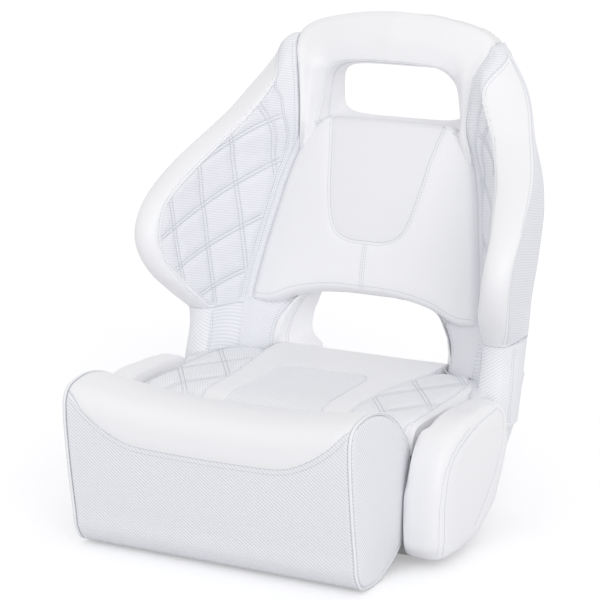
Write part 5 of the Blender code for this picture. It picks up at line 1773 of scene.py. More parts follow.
    def at_run(self, points: np.ndarray, run: np.ndarray, distances: np.ndarray) -> np.ndarray:
        """Reads a place on each ring at a distance from its root.

        Args:
            points: the rings.
            run: the length from the root to each point of its ring.
            distances: the distance for each ring.

        Returns:
            One place for each ring.
        """
        rings = zip(distances, run, points)
        return np.array([[np.interp(far, r, p[:, k]) for k in range(3)] for far, r, p in rings])

    def rising_height(self, y: np.ndarray, k: float) -> np.ndarray:
        """The height of a rising quilted line at places y."""
        first, slope, step, widening = self.rising
        return first + slope * (y - self.datum_y) + k * (step + widening * (y - self.datum_y))

    def falling_place(self, z: np.ndarray) -> np.ndarray:
        """Where the first falling quilted line runs at heights z, as y."""
        first, slope, _, bend = self.falling
        return first + slope * (z - self.datum_z) - bend * np.maximum(0.0, z - self.bend_z) ** 2

    def make(self) -> None:
        """Builds both wings and both necks."""
        rough = loft_rows(self.rings(self.wing_shares, self.wing_swell), 3.0 * MM)
        spans = even_steps(rough, 4.5 * MM, True)
        # Finer where it is quilted, and coarse on the side that the back covers
        spans[:4] = even_steps(rough[:, :5], 2.6 * MM)
        spans[15] = 3
        fine = flow(rough, spans, self.corners, True)
        for side, word in SIDES:
            self.make_wing(fine, side, word, (sum(spans[:4]), sum(spans[:10]), sum(spans[:13])))
        rough = loft_rows(self.rings(self.neck_shares, self.neck_swell), 5 * MM)
        spans = even_steps(rough, 6 * MM, True)
        neck = flow(rough, spans, self.corners, True)
        front_seam, side_seam = sum(spans[:4]), sum(spans[:10]) + round(spans[10] * 0.8)
        for side, word in SIDES:
            skin = Skin(mirrored(neck, side))
            skin.cover_with(RIBBED_ALL)
            twill = MarineVinyl(
                "neck_marine_vinyl_" + word, across=(-0.55 * side, -0.15, 0.82), rib_depth=0.2 * MM,
                between="#DFE1E7",
            ).material()
            cover = skin.build("neck_cover_" + word, twill)
            place_cover(cover, Body.SEAT, Slot.TWILL, 0.9, "neck_pad_" + word)
            sewing = self.shop.sewing(cover, Body.SEAT)
            for column, offset in ((front_seam, 3.5 * MM), (side_seam, -5 * MM)):
                sewing.seam(skin.points[1:-1, column], 0.45 * MM, offset * side)
            sewing.build("neck_" + word)

    def make_wing(self, fine: np.ndarray, side: int, word: str, columns: tuple[int, int, int]) -> None:
        """Builds one wing with its quilting and seams.

        Args:
            fine: the right wing's rings.
            side: 1 for the right wing, -1 for the left.
            word: the side's word in node names.
            columns: the columns of the inner seam, outer seam and rear corner.
        """
        seam_col, outer_col, corner_col = columns
        skin = Skin(mirrored(fine, side))
        rows, count = fine.shape[:2]
        row, column = np.arange(rows)[:, None], np.arange(count)[None, :]
        run = run_along(skin.points)
        y, z = skin.points[..., 1], skin.points[..., 2]
        panel_width = run[:, seam_col:seam_col + 1]
        roll_width = run[:, outer_col:outer_col + 1] - panel_width
        closing = ease(z[:, :1], *self.closing_z)
        width = np.interp(z / self.shop.sizes.height, *np.array(self.gusset).T)
        width = np.minimum(width, panel_width * 0.8) * (1 - closing) + panel_width * closing
        low, high = self.ending_z
        ending = np.clip((z[:, :1] - low) / (high - low), 0, 1) ** self.ending_power
        boundary = panel_width + roll_width * ending
        inner = column <= seam_col
        to_gusset, to_seam, to_outer = run - width, panel_width - run, np.abs(run - panel_width - roll_width)
        edge = np.minimum(to_gusset, to_seam)
        step = self.rising[2] + self.rising[3] * (y - self.datum_y)
        line_a = (z - self.rising_height(y, 0)) / step
        line_b = (y - self.falling_place(z)) / self.falling[2]
        slant_a, slant_b = self.line_slants
        offs = off_line(line_a) * step * slant_a, off_line(line_b) * self.falling[2] * slant_b
        quilted = inner & (to_gusset > 0)
        relief = np.where(quilted, self.padding.relief(offs, edge), 0.0)
        relief += np.where(inner & ~quilted, dent(to_gusset, *self.gusset_dent), 0.0)
        far, swell = self.roll_swell
        swollen = swell * ease(-to_seam, 0, far) * ease(to_outer, 0, far)
        on_roll = (column > seam_col) & (column < outer_col)
        relief += np.where(on_roll, dent(to_seam, *self.roll_dent) + swollen, 0.0)
        relief += np.where(column >= seam_col, dent(to_outer, *self.outer_dent), 0.0)
        skin.push(relief * ease(run, 0, 3 * MM) * ease(row, 0, 3) * ease(rows - 1 - row, 0, 4))
        roll_side = np.where(run <= boundary, boundary - run, -np.minimum(run - boundary, to_outer))
        signed = np.where(column <= outer_col, roll_side, to_outer)
        skin.fields["panel"] = np.where(ending > self.ended, RIBBED_ALL, signed)
        skin.fields["quilt"] = np.where(inner, ease(edge, 0, 3 * MM), 0.0)
        skin.fields["line_a"], skin.fields["line_b"] = line_a, line_b
        vinyl = MarineVinyl(
            "wing_marine_vinyl_" + word, across=(0.0, 0.228, 1.0), rib_spacing=4.0 * MM, rib_depth=0.16 * MM,
            ribbed="#EEEFF3", between="#DEE0E6", quilted=True,
        ).material()
        cover = skin.build("wing_cover_" + word, vinyl)
        place_cover(cover, Body.SEAT, Slot.SMOOTH, 0.85, "wing_pad_" + word)
        sewing, points = self.shop.sewing(cover, Body.SEAT), skin.points
        # The roll's seams, from above the wing's foot to where the roll ends
        smooth_rows = (ending[:, 0] < self.ended) & (row[:, 0] > 1)
        inner_path = self.at_run(points, run, boundary[:, 0])[smooth_rows]
        outer_path = points[smooth_rows, outer_col]
        sewing.crease(inner_path, 0.5 * MM)
        sewing.pipe(inner_path, 1.0 * MM, 1.3 * MM * side)
        sewing.sew(inner_path[:-6], 6 * MM * side)
        sewing.crease(outer_path, 0.45 * MM)
        sewing.sew(outer_path[:-6], -6.5 * MM * side)
        open_rows = (closing[:, 0] < 0.9) & (row[:, 0] > 2)
        sewing.seam(self.at_run(points, run, width[:, 0])[open_rows], 0.5 * MM, -3.5 * MM * side)
        high_rows = (points[:, 0, 2] > 0.70 * self.shop.sizes.height) & (row[:, 0] < rows - 6)
        sewing.sew(self.at_run(points, run, np.full(rows, 4.5 * MM))[high_rows])
        sewing.crease(points[0, 4:corner_col] + np.array([0, 0, 0.3 * MM]), 0.6 * MM)
        sewing.pipe(points[1, seam_col:corner_col], 0.9 * MM)
        self.quilt(sewing, side, points, run, seam_col, width[:, 0])
        sewing.build("wing_" + word)

    def quilt(
        self, sewing: Sewing, side: int, points: np.ndarray, run: np.ndarray, seam_col: int, width: np.ndarray
    ) -> None:
        """Sews the double lines of one wing's diamonds.

        Args:
            sewing: the wing's sewing.
            side: 1 for the right wing, -1 for the left.
            points: the wing's rings.
            run: the length from the root to each point of its ring.
            seam_col: the column of the inner seam.
            width: how wide the plain strip beside the back is on each ring.
        """
        heights, front = points[:, 0, 2], points[:, seam_col, 1]
        end = seam_col + 1
        rear = np.array([np.interp(w, r[:end], p[:end, 1]) for w, r, p in zip(width, run, points)])
        y, z = np.linspace(0.0, 0.29, 240), np.linspace(heights[2], heights[-4], 280)
        paths = [np.stack([y, self.rising_height(y, k)], axis=1) for k in range(-1, 6)]
        paths += [np.stack([self.falling_place(z) + self.falling[2] * j, z], axis=1) for j in range(-1, 5)]
        for path in paths:
            after_front = path[:, 0] > np.interp(path[:, 1], heights, front) + 2 * MM
            before_rear = path[:, 0] < np.interp(path[:, 1], heights, rear) - 2 * MM
            keep = after_front & before_rear & (path[:, 1] > heights[2]) & (path[:, 1] < heights[-4])
            hits = [sewing.hit((0, y, z), (side, 0, 0)) for y, z in path[keep]]
            places = [hit for hit in hits if hit is not None]
            if len(places) > 12:
                sewing.sew_double(np.array(places))


@dataclass
class Backrest:
    """The pads between the wings: lumbar pad, the posts beside the opening and the headrest arch."""

    shop: Workshop
    lumbar_half_share: float = 0.6222
    lumbar_height_share: float = 0.4223
    lumbar_low_share: float = 0.0935
    lumbar_arch: float = 0.032
    lumbar_crown: float = 0.020
    lumbar_edge: float = 0.012
    post_low: float = -0.010
    post_high_share: float = 0.0924
    post_slant: float = 0.024
    # The covers meet the necks, so they are a little wider than their CAD solids
    post_outer_share: float = 0.651
    flare_share: float = 0.26
    flare_y_share: float = 0.6833
    # The legs' inner walls and the faces of their linings: height and half width
    leg_walls: tuple = (
        (0.188, 0.1525), (0.205, 0.1496), (0.215, 0.1474), (0.225, 0.1451), (0.24, 0.141), (0.26, 0.1305),
        (0.27, 0.1235), (0.28, 0.115), (0.302, 0.0925),
    )
    leg_linings: tuple = (
        (0.188, 0.099), (0.196, 0.101), (0.2, 0.108), (0.204, 0.1145), (0.209, 0.1195), (0.216, 0.1235),
        (0.228, 0.1255), (0.245, 0.1245), (0.26, 0.1195), (0.27, 0.1145), (0.28, 0.1075), (0.302, 0.089),
    )
    hole_middle: float = 0.5938
    lining_half: tuple[float, float] = (0.1078, 0.0415)
    # The power that rounds the corners of the handle hole's lining
    lining_power: float = 5
    lining_rear: float = 0.3375
    sill_front: float = 0.304
    # The hole lining's section: how far back and how far in from the hole's edge
    hole_section_shares: tuple = (
        (0.0, 0.0), (0.06, 0.05), (0.3, 0.28), (0.6, 0.62), (0.84, 0.92), (0.93, 0.99), (0.985, 0.96),
        (1.0, 0.8), (1.0, 0.35), (0.985, 0.0),
    )
    # The photograph shows a thick lining on the left leg only: the shift and the least half width
    lining_shifts: tuple = (("right", (0.004, 0.1285)), ("left", (-0.012, 0.0)))
    # One level section of a leg's lining, as shares of its width and depth
    lining_shares: tuple = (
        (1.25, -0.16), (1.08, -0.13), (0.93, 0.08), (0.76, 0.28), (0.56, 0.48), (0.33, 0.68), (0.12, 0.86),
        (0.02, 0.96), (0.1, 1.0), (1.0, 1.0),
    )
    headrest_edge: float = 0.011
    headrest_crown: float = 0.004
    lumbar_widths: tuple = (
        (0.0, 0.985), (0.04, 1.0), (0.15, 0.982), (0.32, 0.942), (0.47, 0.898), (0.62, 0.855),
        (0.74, 0.806), (0.84, 0.75), (0.91, 0.684), (0.96, 0.615), (1.0, 0.53),
    )
    opening_shares: tuple = ((0.46, 0.311), (0.441, 0.34), (0.406, 0.363), (0.349, 0.38))
    post_shares: tuple = ((0.0, 0.0), (0.25, 0.12), (0.5, 0.34), (0.78, 0.68), (0.94, 0.9), (1.0, 1.1))
    # The rows of a post, whose top tucks in below the lumbar pad's rounded edge: height share, tuck
    post_rows: tuple = ((0.0, 0.0), (0.08, 0.0), (0.5, 0.0), (0.88, 0.0008), (1.0, 0.003), (1.12, 0.01))
    # The lumbar pad's columns and rows, each with how far its edge is rounded there
    lumbar_columns: tuple = (
        (-1.0, 1.0), (-0.97, 0.35), (-0.85, 0.06), (-0.6, 0.0), (-0.3, 0.0), (0.0, 0.0), (0.3, 0.0),
        (0.6, 0.0), (0.85, 0.06), (0.97, 0.35), (1.0, 1.0),
    )
    lumbar_rows: tuple = (
        (0.0, 1.0), (0.012, 0.35), (0.05, 0.08), (0.15, 0.0), (0.32, 0.0), (0.5, 0.0), (0.68, 0.0),
        (0.82, 0.0), (0.92, 0.06), (0.98, 0.35), (1.0, 1.0),
    )
    # Width and depth of the dent along the centre panel's seam
    seam_dent: tuple[float, float] = (5 * MM, 1.8 * MM)
    # The legs of the arch run on behind the lumbar pad's corners
    headrest_tucks: tuple = (
        (0.44, 0.65, 0.85, 0.48, 0.652, 0.846), (0.42, 0.69, 0.862, 0.478, 0.692, 0.852),
    )
    headrest_shares: tuple = (
        (0.402, 0.727, 0.855, 0.471, 0.729, 0.833), (0.388, 0.75, 0.863, 0.463, 0.752, 0.817),
        (0.386, 0.773, 0.89, 0.4605, 0.775, 0.812), (0.371, 0.812, 0.907, 0.466, 0.817, 0.82),
        (0.356, 0.846, 0.91, 0.476, 0.856, 0.83), (0.33, 0.866, 0.9, 0.491, 0.891, 0.85),
        (0.298, 0.877, 0.892, 0.523, 0.922, 0.91), (0.262, 0.884, 0.885, 0.519, 0.947, 0.95),
        (0.218, 0.888, 0.88, 0.45, 0.967, 0.968), (0.165, 0.89, 0.875, 0.335, 0.981, 0.968),
        (0.085, 0.891, 0.872, 0.165, 0.993, 0.97), (0.0, 0.891, 0.87, 0.0, 0.997, 0.96),
    )
    # The seam round the lumbar pad's centre panel, as half width and height
    insert_seam: tuple = (
        (0.0, 0.3785), (0.028, 0.3795), (0.046, 0.385), (0.058, 0.396), (0.066, 0.413), (0.073, 0.44),
        (0.079, 0.47), (0.085, 0.507), (0.091, 0.533), (0.096, 0.556),
    )

    def make(self) -> None:
        """Builds the lumbar pad, both posts, the gussets, the headrest and the openings' linings."""
        self.make_lumbar()
        self.make_posts()
        self.make_gussets()
        self.make_headrest()
        self.make_lining()
        self.make_leg_linings()

    def lumbar_rings(self) -> tuple[np.ndarray, int]:
        """Lays the rows of the lumbar pad, across its front and back over its rear.

        Returns:
            The rows, and how many of their columns lie on the front.
        """
        s = self.shop.sizes
        half, tall = s.half_width * self.lumbar_half_share, s.height * self.lumbar_height_share
        low_edge = s.height * self.lumbar_low_share
        widths = blend_rows(self.lumbar_widths, 3)
        rings = []
        for up_share, end in self.lumbar_rows:
            wide = read_table(widths, up_share) * half
            front, back = [], []
            for place, edge in self.lumbar_columns:
                low = low_edge + self.lumbar_arch * max(0.0, 1 - (abs(place) / 0.72) ** 3) ** 0.6
                up = low + (low_edge + tall - low) * up_share
                crown = self.lumbar_crown * (1 - place**2) * math.sin(math.pi * (0.15 + 0.7 * up_share))
                front.append(s.back_place(place * wide, up, self.lumbar_edge * max(edge, end) - crown))
                back.append(s.back_place(place * wide, up, s.pad))
            rings.append(front + back[::-1])
        rough = loft_rows(np.array(rings), 4.5 * MM)
        spans = even_steps(rough[:, :11], 4.5 * MM)
        fine = flow(rough, spans + [3] + spans[::-1] + [3], (0, 10, 11, 21), True)
        # The two short sides are left out of the strip caps, so their middle points go
        count = sum(spans) + 1
        keep = list(range(count)) + list(range(count + 2, count + 2 + count))
        return fine[:, keep], count

    def on_front(self, sewing: Sewing, x: float, z: float) -> Sequence[float]:
        """Finds the place on the lumbar pad's front at a width and a height.

        Args:
            sewing: the pad's sewing.
            x, z: the place across and its height.

        Returns:
            The place, or one close to it where the pad ends.
        """
        return sewing.hit((x, -0.3, z), (0, 1, 0)) or (x, self.shop.sizes.front_y(z) - self.lumbar_crown, z)

    def make_lumbar(self) -> None:
        """Builds the lumbar pad with its centre panel."""
        points, front_count = self.lumbar_rings()
        skin = Skin(points, folded=True)
        seam = curve_through([(x, 0, z) for x, z in self.insert_seam])
        path = np.concatenate([seam[::-1] * (-1, 1, 1), seam[1:]])
        rows, count = points.shape[:2]
        row, column = np.arange(rows)[:, None], np.arange(count)[None, :]
        front_face = column < front_count
        off = nearness(points[..., [0, 2]], path[:, [0, 2]])
        half_at = np.interp(points[..., 2], seam[:, 2], seam[:, 0], left=-1)
        inside = (np.abs(points[..., 0]) < half_at) & front_face
        relief = np.where(front_face, dent(off, *self.seam_dent), 0.0)
        relief += np.where(inside, -1.2 * MM * ease(off, 0, 14 * MM), 0.0)
        relief += np.where(front_face & ~inside, 1.2 * MM * ease(off, 0, 16 * MM), 0.0)
        rim = np.minimum(column, front_count - 1 - column)
        skin.push(relief * ease(rim, 0, 5) * ease(row, 0, 4) * ease(rows - 1 - row, 0, 4))
        skin.fields["panel"] = np.where(inside, off, -off)
        # The centre panel is plain vinyl of a slightly greyer white
        vinyl = MarineVinyl("lumbar_marine_vinyl", ribbed="#ECECEF", between="#ECECEF", rib_depth=0.0)
        cover = skin.build("lumbar_cover", vinyl.material())
        place_cover(cover, Body.SEAT, Slot.SMOOTH, 0.85, "lumbar_pad")
        sewing = self.shop.sewing(cover, Body.SEAT)
        sewing.seam(np.array([self.on_front(sewing, x, z) for x, _, z in path]), 0.5 * MM, 4.5 * MM)
        low = np.array([self.on_front(sewing, 0, z) for z in np.linspace(0.376, 0.304, 40)])
        sewing.crease(low, 0.4 * MM)
        sewing.double = 3.5 * MM
        sewing.sew_double(low)
        sewing.crease(skin.points[3, 3:front_count - 3], 0.35 * MM)
        sewing.build("lumbar")

    def flared(self, half_width: float, y: float) -> float:
        """A half width of the lower opening at a depth."""
        return half_width + max(0.0, self.shop.sizes.reach * self.flare_y_share - y) * self.flare_share

    def make_posts(self) -> None:
        """Builds the ribbed pads on the legs beside the lower opening, smooth on their inner sides."""
        s = self.shop.sizes
        outer_x = s.half_width * self.post_outer_share
        widths = [(z * s.height, x * s.half_width) for x, z in self.opening_shares[:3]]
        depth, high = s.pad - s.gap, s.height * self.post_high_share
        rings = []
        for share, tuck in self.post_rows:
            up = self.post_low + (high - self.post_low) * share
            place = s.back_place(0.0, up, self.post_slant)
            inner_x = self.flared(read_table(widths, place[2]), place[1]) - 4 * MM * max(0.0, 1 - share / 0.4)
            span = outer_x - inner_x
            section = [(outer_x - span * a, self.post_slant * sink + tuck) for a, sink in self.post_shares]
            section += [(inner_x, depth + tuck), (outer_x, depth + tuck)]
            rings.append([s.back_place(x, up, out) for x, out in section])
        rough = loft_rows(np.array(rings), 4 * MM)
        spans = even_steps(rough, 4 * MM, True)
        fine = flow(rough, spans, (0, 5, 6, 7), True)
        edge_col, run = sum(spans[:4]), run_along(fine)
        for side, word in SIDES:
            skin = Skin(mirrored(fine, side))
            skin.fields["panel"] = run[:, edge_col:edge_col + 1] - run
            lean = (-0.859, 0.0, 0.512) if side > 0 else (0.40, 0.0, 0.92)
            twill = MarineVinyl(
                "post_marine_vinyl_" + word, across=lean, rib_spacing=3.5 * MM, rib_depth=0.18 * MM,
                ribbed="#EEEFF3", between="#DCDEE4",
            ).material()
            cover = skin.build("post_cover_" + word, twill)
            place_cover(cover, Body.SEAT, Slot.TWILL, 0.9, "post_pad_" + word)
            sewing = self.shop.sewing(cover, Body.SEAT)
            sewing.seam(skin.points[1:-1, edge_col], 0.45 * MM, 5 * MM * side)
            sewing.build("post_" + word)

    def lumbar_edge_x(self, z: float) -> float:
        """The half width of the lumbar pad at a height.

        Args:
            z: the height.

        Returns:
            The half width.
        """
        s = self.shop.sizes
        up = (z - s.cushion_top + self.lumbar_edge * math.sin(s.recline)) / math.cos(s.recline)
        share = (up - s.height * self.lumbar_low_share) / (s.height * self.lumbar_height_share)
        return read_table(blend_rows(self.lumbar_widths, 3), share) * s.half_width * self.lumbar_half_share

    def make_gussets(self) -> None:
        """Builds the slim ribbed strips that close the gap between each wing and the lumbar pad."""
        s = self.shop.sizes
        heights, widths, depths = (np.array(Wings.wing_shares)[:, :3] * (s.height, s.half_width, s.reach)).T
        rings = []
        for z in np.linspace(0.2625, 0.548, 26):
            root_x, root_y = np.interp(z, heights, widths), np.interp(z, heights, depths)
            edge_x = self.lumbar_edge_x(z)
            span = root_x - edge_x + 5 * MM
            sink = 4 * MM * float(ease(z, 0.515, 0.545))
            section = (
                (root_x + 4 * MM, 10 * MM), (root_x + 0.5 * MM, 5 * MM), (root_x - 0.25 * span, 5.5 * MM),
                (root_x - 0.55 * span, 8 * MM), (root_x - 0.8 * span, 12 * MM), (edge_x - 5 * MM, 17 * MM),
                (edge_x - 5 * MM, 24 * MM), (root_x + 4 * MM, 24 * MM),
            )
            rings.append([(x, root_y + out + sink, z) for x, out in section])
        fine = even_rings(loft_rows(np.array(rings), 5 * MM), 3 * MM, (0, 5, 6, 7))
        for side, word in SIDES:
            skin = Skin(mirrored(fine, side))
            skin.cover_with(RIBBED_ALL)
            twill = MarineVinyl(
                "gusset_marine_vinyl_" + word, across=(0.5 * side, 0.3, 1.0), rib_spacing=3.4 * MM,
                rib_depth=0.2 * MM, ribbed="#EEEFF3", between="#DCDEE4",
            ).material()
            cover = skin.build("gusset_cover_" + word, twill)
            place_cover(cover, Body.SEAT, Slot.TWILL, 0.85)

    def make_headrest(self) -> None:
        """Builds the headrest arch with the welt round the handle hole."""
        s = self.shop.sizes
        sizes = (s.half_width, s.height, s.reach) * 2
        half = blend_rows(scaled(self.headrest_tucks + self.headrest_shares, *sizes), 2)
        rows = [(1, row) for row in half] + [(-1, row) for row in reversed(half[:-1])]
        edge, crown = self.headrest_edge, self.headrest_crown
        rings = []
        for side, (in_x, in_z, in_y, out_x, out_z, out_y) in rows:
            inner, outer = Vector((in_x, in_y, in_z)), Vector((out_x - s.gap * 2, out_y, out_z))
            # Beside the wings the outer edge is sewn to them, so it is less rounded there
            outside = edge * (0.35 + 0.65 * float(ease(np.array(out_z / s.height), 0.90, 0.96)))
            section = (
                (0.0, edge), (0.06, edge * 0.3), (0.22, 0.0), (0.5, -crown), (0.78, 0.0),
                (0.94, outside * 0.3), (1.0, outside),
            )
            ring = []
            for share, sink in section:
                place = inner.lerp(outer, share)
                ring.append((side * place.x, place.y + sink, place.z))
            for place in (outer, inner):
                ring.append((side * place.x, s.pad_back_y(place.z), place.z))
            rings.append(ring)
        rough = loft_rows(np.array(rings), 5 * MM)
        spans = even_steps(rough, 4.5 * MM, True)
        fine = flow(rough, spans, (0, 6, 7, 8), True)
        skin = Skin(fine)
        skin.cover_with(SMOOTH_ALL)
        cover = skin.build("headrest_cover", self.shop.smooth)
        place_cover(cover, Body.SEAT, Slot.SMOOTH, 0.85, "headrest_pad")
        sewing = self.shop.sewing(cover, Body.SEAT)
        sewing.pipe(fine[3:-3, 1], 1.0 * MM)
        outer_col, count = sum(spans[:6]), len(fine)
        low, turn = int(count * 0.03), int(count * 0.27)
        for rows_used in (slice(low, turn), slice(count - turn, count - low)):
            sewing.crease(fine[rows_used, outer_col - 1], 0.35 * MM)
        sewing.build("headrest")

    def hole(self, angle: np.ndarray) -> tuple[np.ndarray, np.ndarray]:
        """The handle hole's own edge and the lining's, as distances from the middle at angles.

        Args:
            angle: the directions, from 0 to the right and on upwards.

        Returns:
            The radius of the hole and of the lining at each angle.
        """
        s = self.shop.sizes
        first = 4 * (len(self.headrest_tucks) + 2)
        rows = blend_rows(self.headrest_tucks + self.headrest_shares, 4)[first:]
        half = [(0.386, 0.743)] + [row[:2] for row in rows]
        right = [(x * s.half_width, z * s.height - self.hole_middle) for x, z in half]
        loop = np.array([(0.0, right[0][1])] + right + [(-x, z) for x, z in reversed(right[:-1])])
        dense = np.linspace(0, 1, 60)
        edge_angle, edge_far = [], []
        for a, b in zip(loop, np.roll(loop, -1, axis=0)):
            run = a[None] + (b - a)[None] * dense[:-1, None]
            edge_angle += list(np.arctan2(run[:, 1], run[:, 0]))
            edge_far += list(np.hypot(run[:, 0], run[:, 1]))
        order = np.argsort(edge_angle)
        outer = np.interp(angle, np.array(edge_angle)[order], np.array(edge_far)[order], period=2 * math.pi)
        wide, tall = self.lining_half
        power = self.lining_power
        inner = (np.abs(np.cos(angle) / wide) ** power + np.abs(np.sin(angle) / tall) ** power) ** (-1 / power)
        return outer, np.minimum(inner, outer - 1 * MM)

    def make_leg_linings(self) -> None:
        """Builds the smooth padded linings on the inner sides of the legs, beside the lower opening."""
        s = self.shop.sizes
        walls, linings = np.array(self.leg_walls).T, np.array(self.leg_linings).T
        for side, word in SIDES:
            shift, least = dict(self.lining_shifts)[word]
            rings = []
            for z in np.concatenate([np.linspace(0.188, 0.222, 11), np.linspace(0.228, 0.302, 16)]):
                wall = float(np.interp(z, *walls)) - 0.4 * MM
                low = 1 - float(ease(z, 0.255, 0.300))
                lining = min(max(float(np.interp(z, *linings)) + shift * low, least), wall - 3 * MM)
                front = s.front_y(z) + s.pad / math.cos(s.recline) + 1 * MM
                deep, wide = s.rear_y(z) - 0.6 * MM - front, wall - lining
                rings.append([(lining + wide * a, front + deep * b, z) for a, b in self.lining_shares])
            rough = loft_rows(np.array(rings), 4 * MM)
            spans = even_steps(rough, 3 * MM, True)
            skin = Skin(mirrored(flow(rough, spans, (0, 9), True), side))
            skin.cover_with(SMOOTH_ALL)
            cover = skin.build("leg_lining_" + word, self.shop.smooth)
            place_cover(cover, Body.SEAT, Slot.SMOOTH, 0.95)
            sewing = self.shop.sewing(cover, Body.SEAT)
            sewing.seam(skin.points[2:-2, sum(spans[:3])], 0.35 * MM, 4 * MM * side)
            sewing.build("leg_lining_" + word)

    def make_lining(self) -> None:
        """Builds the smooth lining that rolls in round the handle hole."""
        s = self.shop.sizes
        angle = np.linspace(-math.pi, math.pi, 161)[:-1]
        outer, inner = self.hole(angle)
        arch = np.array(blend_rows(self.headrest_shares, 4))
        edge_z = self.hole_middle + outer * np.sin(angle)
        edge_y = np.interp(edge_z, arch[:, 1] * s.height, arch[:, 2] * s.reach) + self.headrest_edge
        start = edge_y + (self.sill_front - edge_y) * ease(-np.sin(angle), 0.35, 0.8)
        rings = []
        for back, reach in self.hole_section_shares:
            far = outer + 0.6 * MM - (outer + 0.6 * MM - inner) * reach
            y = start + (self.lining_rear - start) * back
            rings.append(np.stack([far * np.cos(angle), y, self.hole_middle + far * np.sin(angle)], axis=1))
        section = np.swapaxes(np.array(rings), 0, 1)
        spans = even_steps(section, 3 * MM, True)
        fine = flow(section, spans, (0, 9), True)
        rows, count = fine.shape[:2]
        faces = []
        for i in range(rows):
            low, high = i * count, (i + 1) % rows * count
            faces += [(low + k, high + k, high + (k + 1) % count, low + (k + 1) % count) for k in range(count)]
        fields = {"panel": np.full(rows * count, SMOOTH_ALL)}
        lining = new_object("handle_hole_lining", fine.reshape(-1, 3), faces, self.shop.smooth, fields)
        place_cover(lining, Body.SEAT, Slot.SMOOTH, 1.0)
        sewing = self.shop.sewing(lining, Body.SEAT)
        middle = fine[:, spans[0] + 5]
        sewing.seam(np.concatenate([middle, middle[:1]]), 0.35 * MM, 3.5 * MM)
        sewing.build("handle_hole_lining")


@dataclass
class TrimPanels:
    """The ribbed covers of the back and the base, with rolled edges and edge stitching."""

    shop: Workshop
    edge_roll: float = 2.0 * MM
    stitch_inset: float = 9.0 * MM
    panels: tuple = (
        ("rear_cover", (0.0, 0.2, 1.0)), ("base_rear_cover", (0.0, 0.2, 1.0)),
        ("base_side_cover_right", (-0.5, -0.3, 0.8)), ("base_side_cover_left", (0.5, -0.3, 0.8)),
    )

    def make(self) -> None:
        """Builds the panels and sews the one on the back."""
        made = {name: self.make_panel(name, across) for name, across in self.panels}
        self.sew_back(made["rear_cover"])

    def make_panel(self, name: str, across: tuple[float, float, float]) -> bpy.types.Object:
        """Builds one cover from its CAD panel, its edges rolled over.

        Args:
            name: the CAD node.
            across: the direction across its ribs.

        Returns:
            The cover.
        """
        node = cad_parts[name]
        shape = bmesh.new()
        shape.from_mesh(node.data)
        shape.transform(node.matrix_world)
        bmesh.ops.remove_doubles(shape, verts=shape.verts, dist=0.002 * MM)
        bmesh.ops.dissolve_limit(shape, angle_limit=math.radians(1.0), verts=shape.verts, edges=shape.edges)
        limit = math.radians(35)
        sharp = [edge for edge in shape.edges if edge.is_manifold and edge.calc_face_angle(0) > limit]
        bmesh.ops.bevel(
            shape, geom=sharp, offset=self.edge_roll, segments=3, profile=0.6, affect="EDGES",
            clamp_overlap=True,
        )
        shape.verts.ensure_lookup_table()
        shape.verts.index_update()
        points = np.array([vertex.co for vertex in shape.verts])
        faces = [[vertex.index for vertex in face.verts] for face in shape.faces]
        shape.free()
        cloth = MarineVinyl("trim_marine_vinyl_" + name, across=across, rib_spacing=4.4 * MM).material()
        cover = new_object(name + "_trim", points, faces, cloth, {"panel": np.full(len(points), RIBBED_ALL)})
        place_cover(cover, Body.SEAT, Slot.TWILL, 1.0, name)
        return cover

    def sew_back(self, cover: bpy.types.Object) -> None:
        """Sews the edges of the back's cover and round its handle hole.

        Args:
            cover: the back's cover.
        """
        s = self.shop.sizes
        sewing = self.shop.sewing(cover, Body.SEAT)
        table = np.array([row[:2] for row in Wings.wing_shares]) * np.array([s.height, s.half_width])
        z = np.linspace(0.275, 0.640, 160)
        x = np.interp(z, table[:, 0], table[:, 1]) - self.stitch_inset
        y = np.array([s.rear_y(height) for height in z])
        for side in (1, -1):
            sewing.sew(np.stack([x * side, y, z], axis=1))
        angle = np.linspace(-math.pi, math.pi, 200)
        outer, _ = Backrest(self.shop).hole(angle)
        far = outer + self.stitch_inset
        z = Backrest.hole_middle + far * np.sin(angle)
        around = np.stack([far * np.cos(angle), np.array([s.rear_y(height) for height in z]), z], axis=1)
        sewing.sew(around)
        sewing.build("rear_cover")


@dataclass(frozen=True)
class HardParts:
    """The hard CAD parts, which keep their shapes and get their finishes."""

    plastic: tuple[str, ...] = ("back_shell", "base_pan", "hip_board_left", "hip_board_right")
    board: tuple[str, ...] = ("seat_board", "bolster_board")
    nylon: tuple[str, ...] = ("pivot_bush_left", "pivot_bush_right")
    rubber: tuple[str, ...] = ("bolster_bumper_left", "bolster_bumper_right")
    soft_words: tuple[str, ...] = ("_pad", "cushion", "piping", "end_panel", "_cover")

    def dress(self) -> None:
        """Gives every kept node its finish."""
        steel = BrushedSteel().material()
        finishes = (
            (self.plastic, MouldedPlastic().material()),
            (self.board, MarineBoard().material()),
            (self.nylon, PlainPolymer("machined_nylon", "#E1DED4", "#D8D4C8", 0.45, 1.53).material()),
            (self.rubber, PlainPolymer("moulded_rubber", "#2A2A2B", "#343435", 0.75, 1.52).material()),
        )
        for name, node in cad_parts.items():
            if any(word in name for word in self.soft_words):
                continue
            finish = next((material for names, material in finishes if name in names), steel)
            for slot in node.material_slots:
                slot.link = "OBJECT"
                slot.material = finish


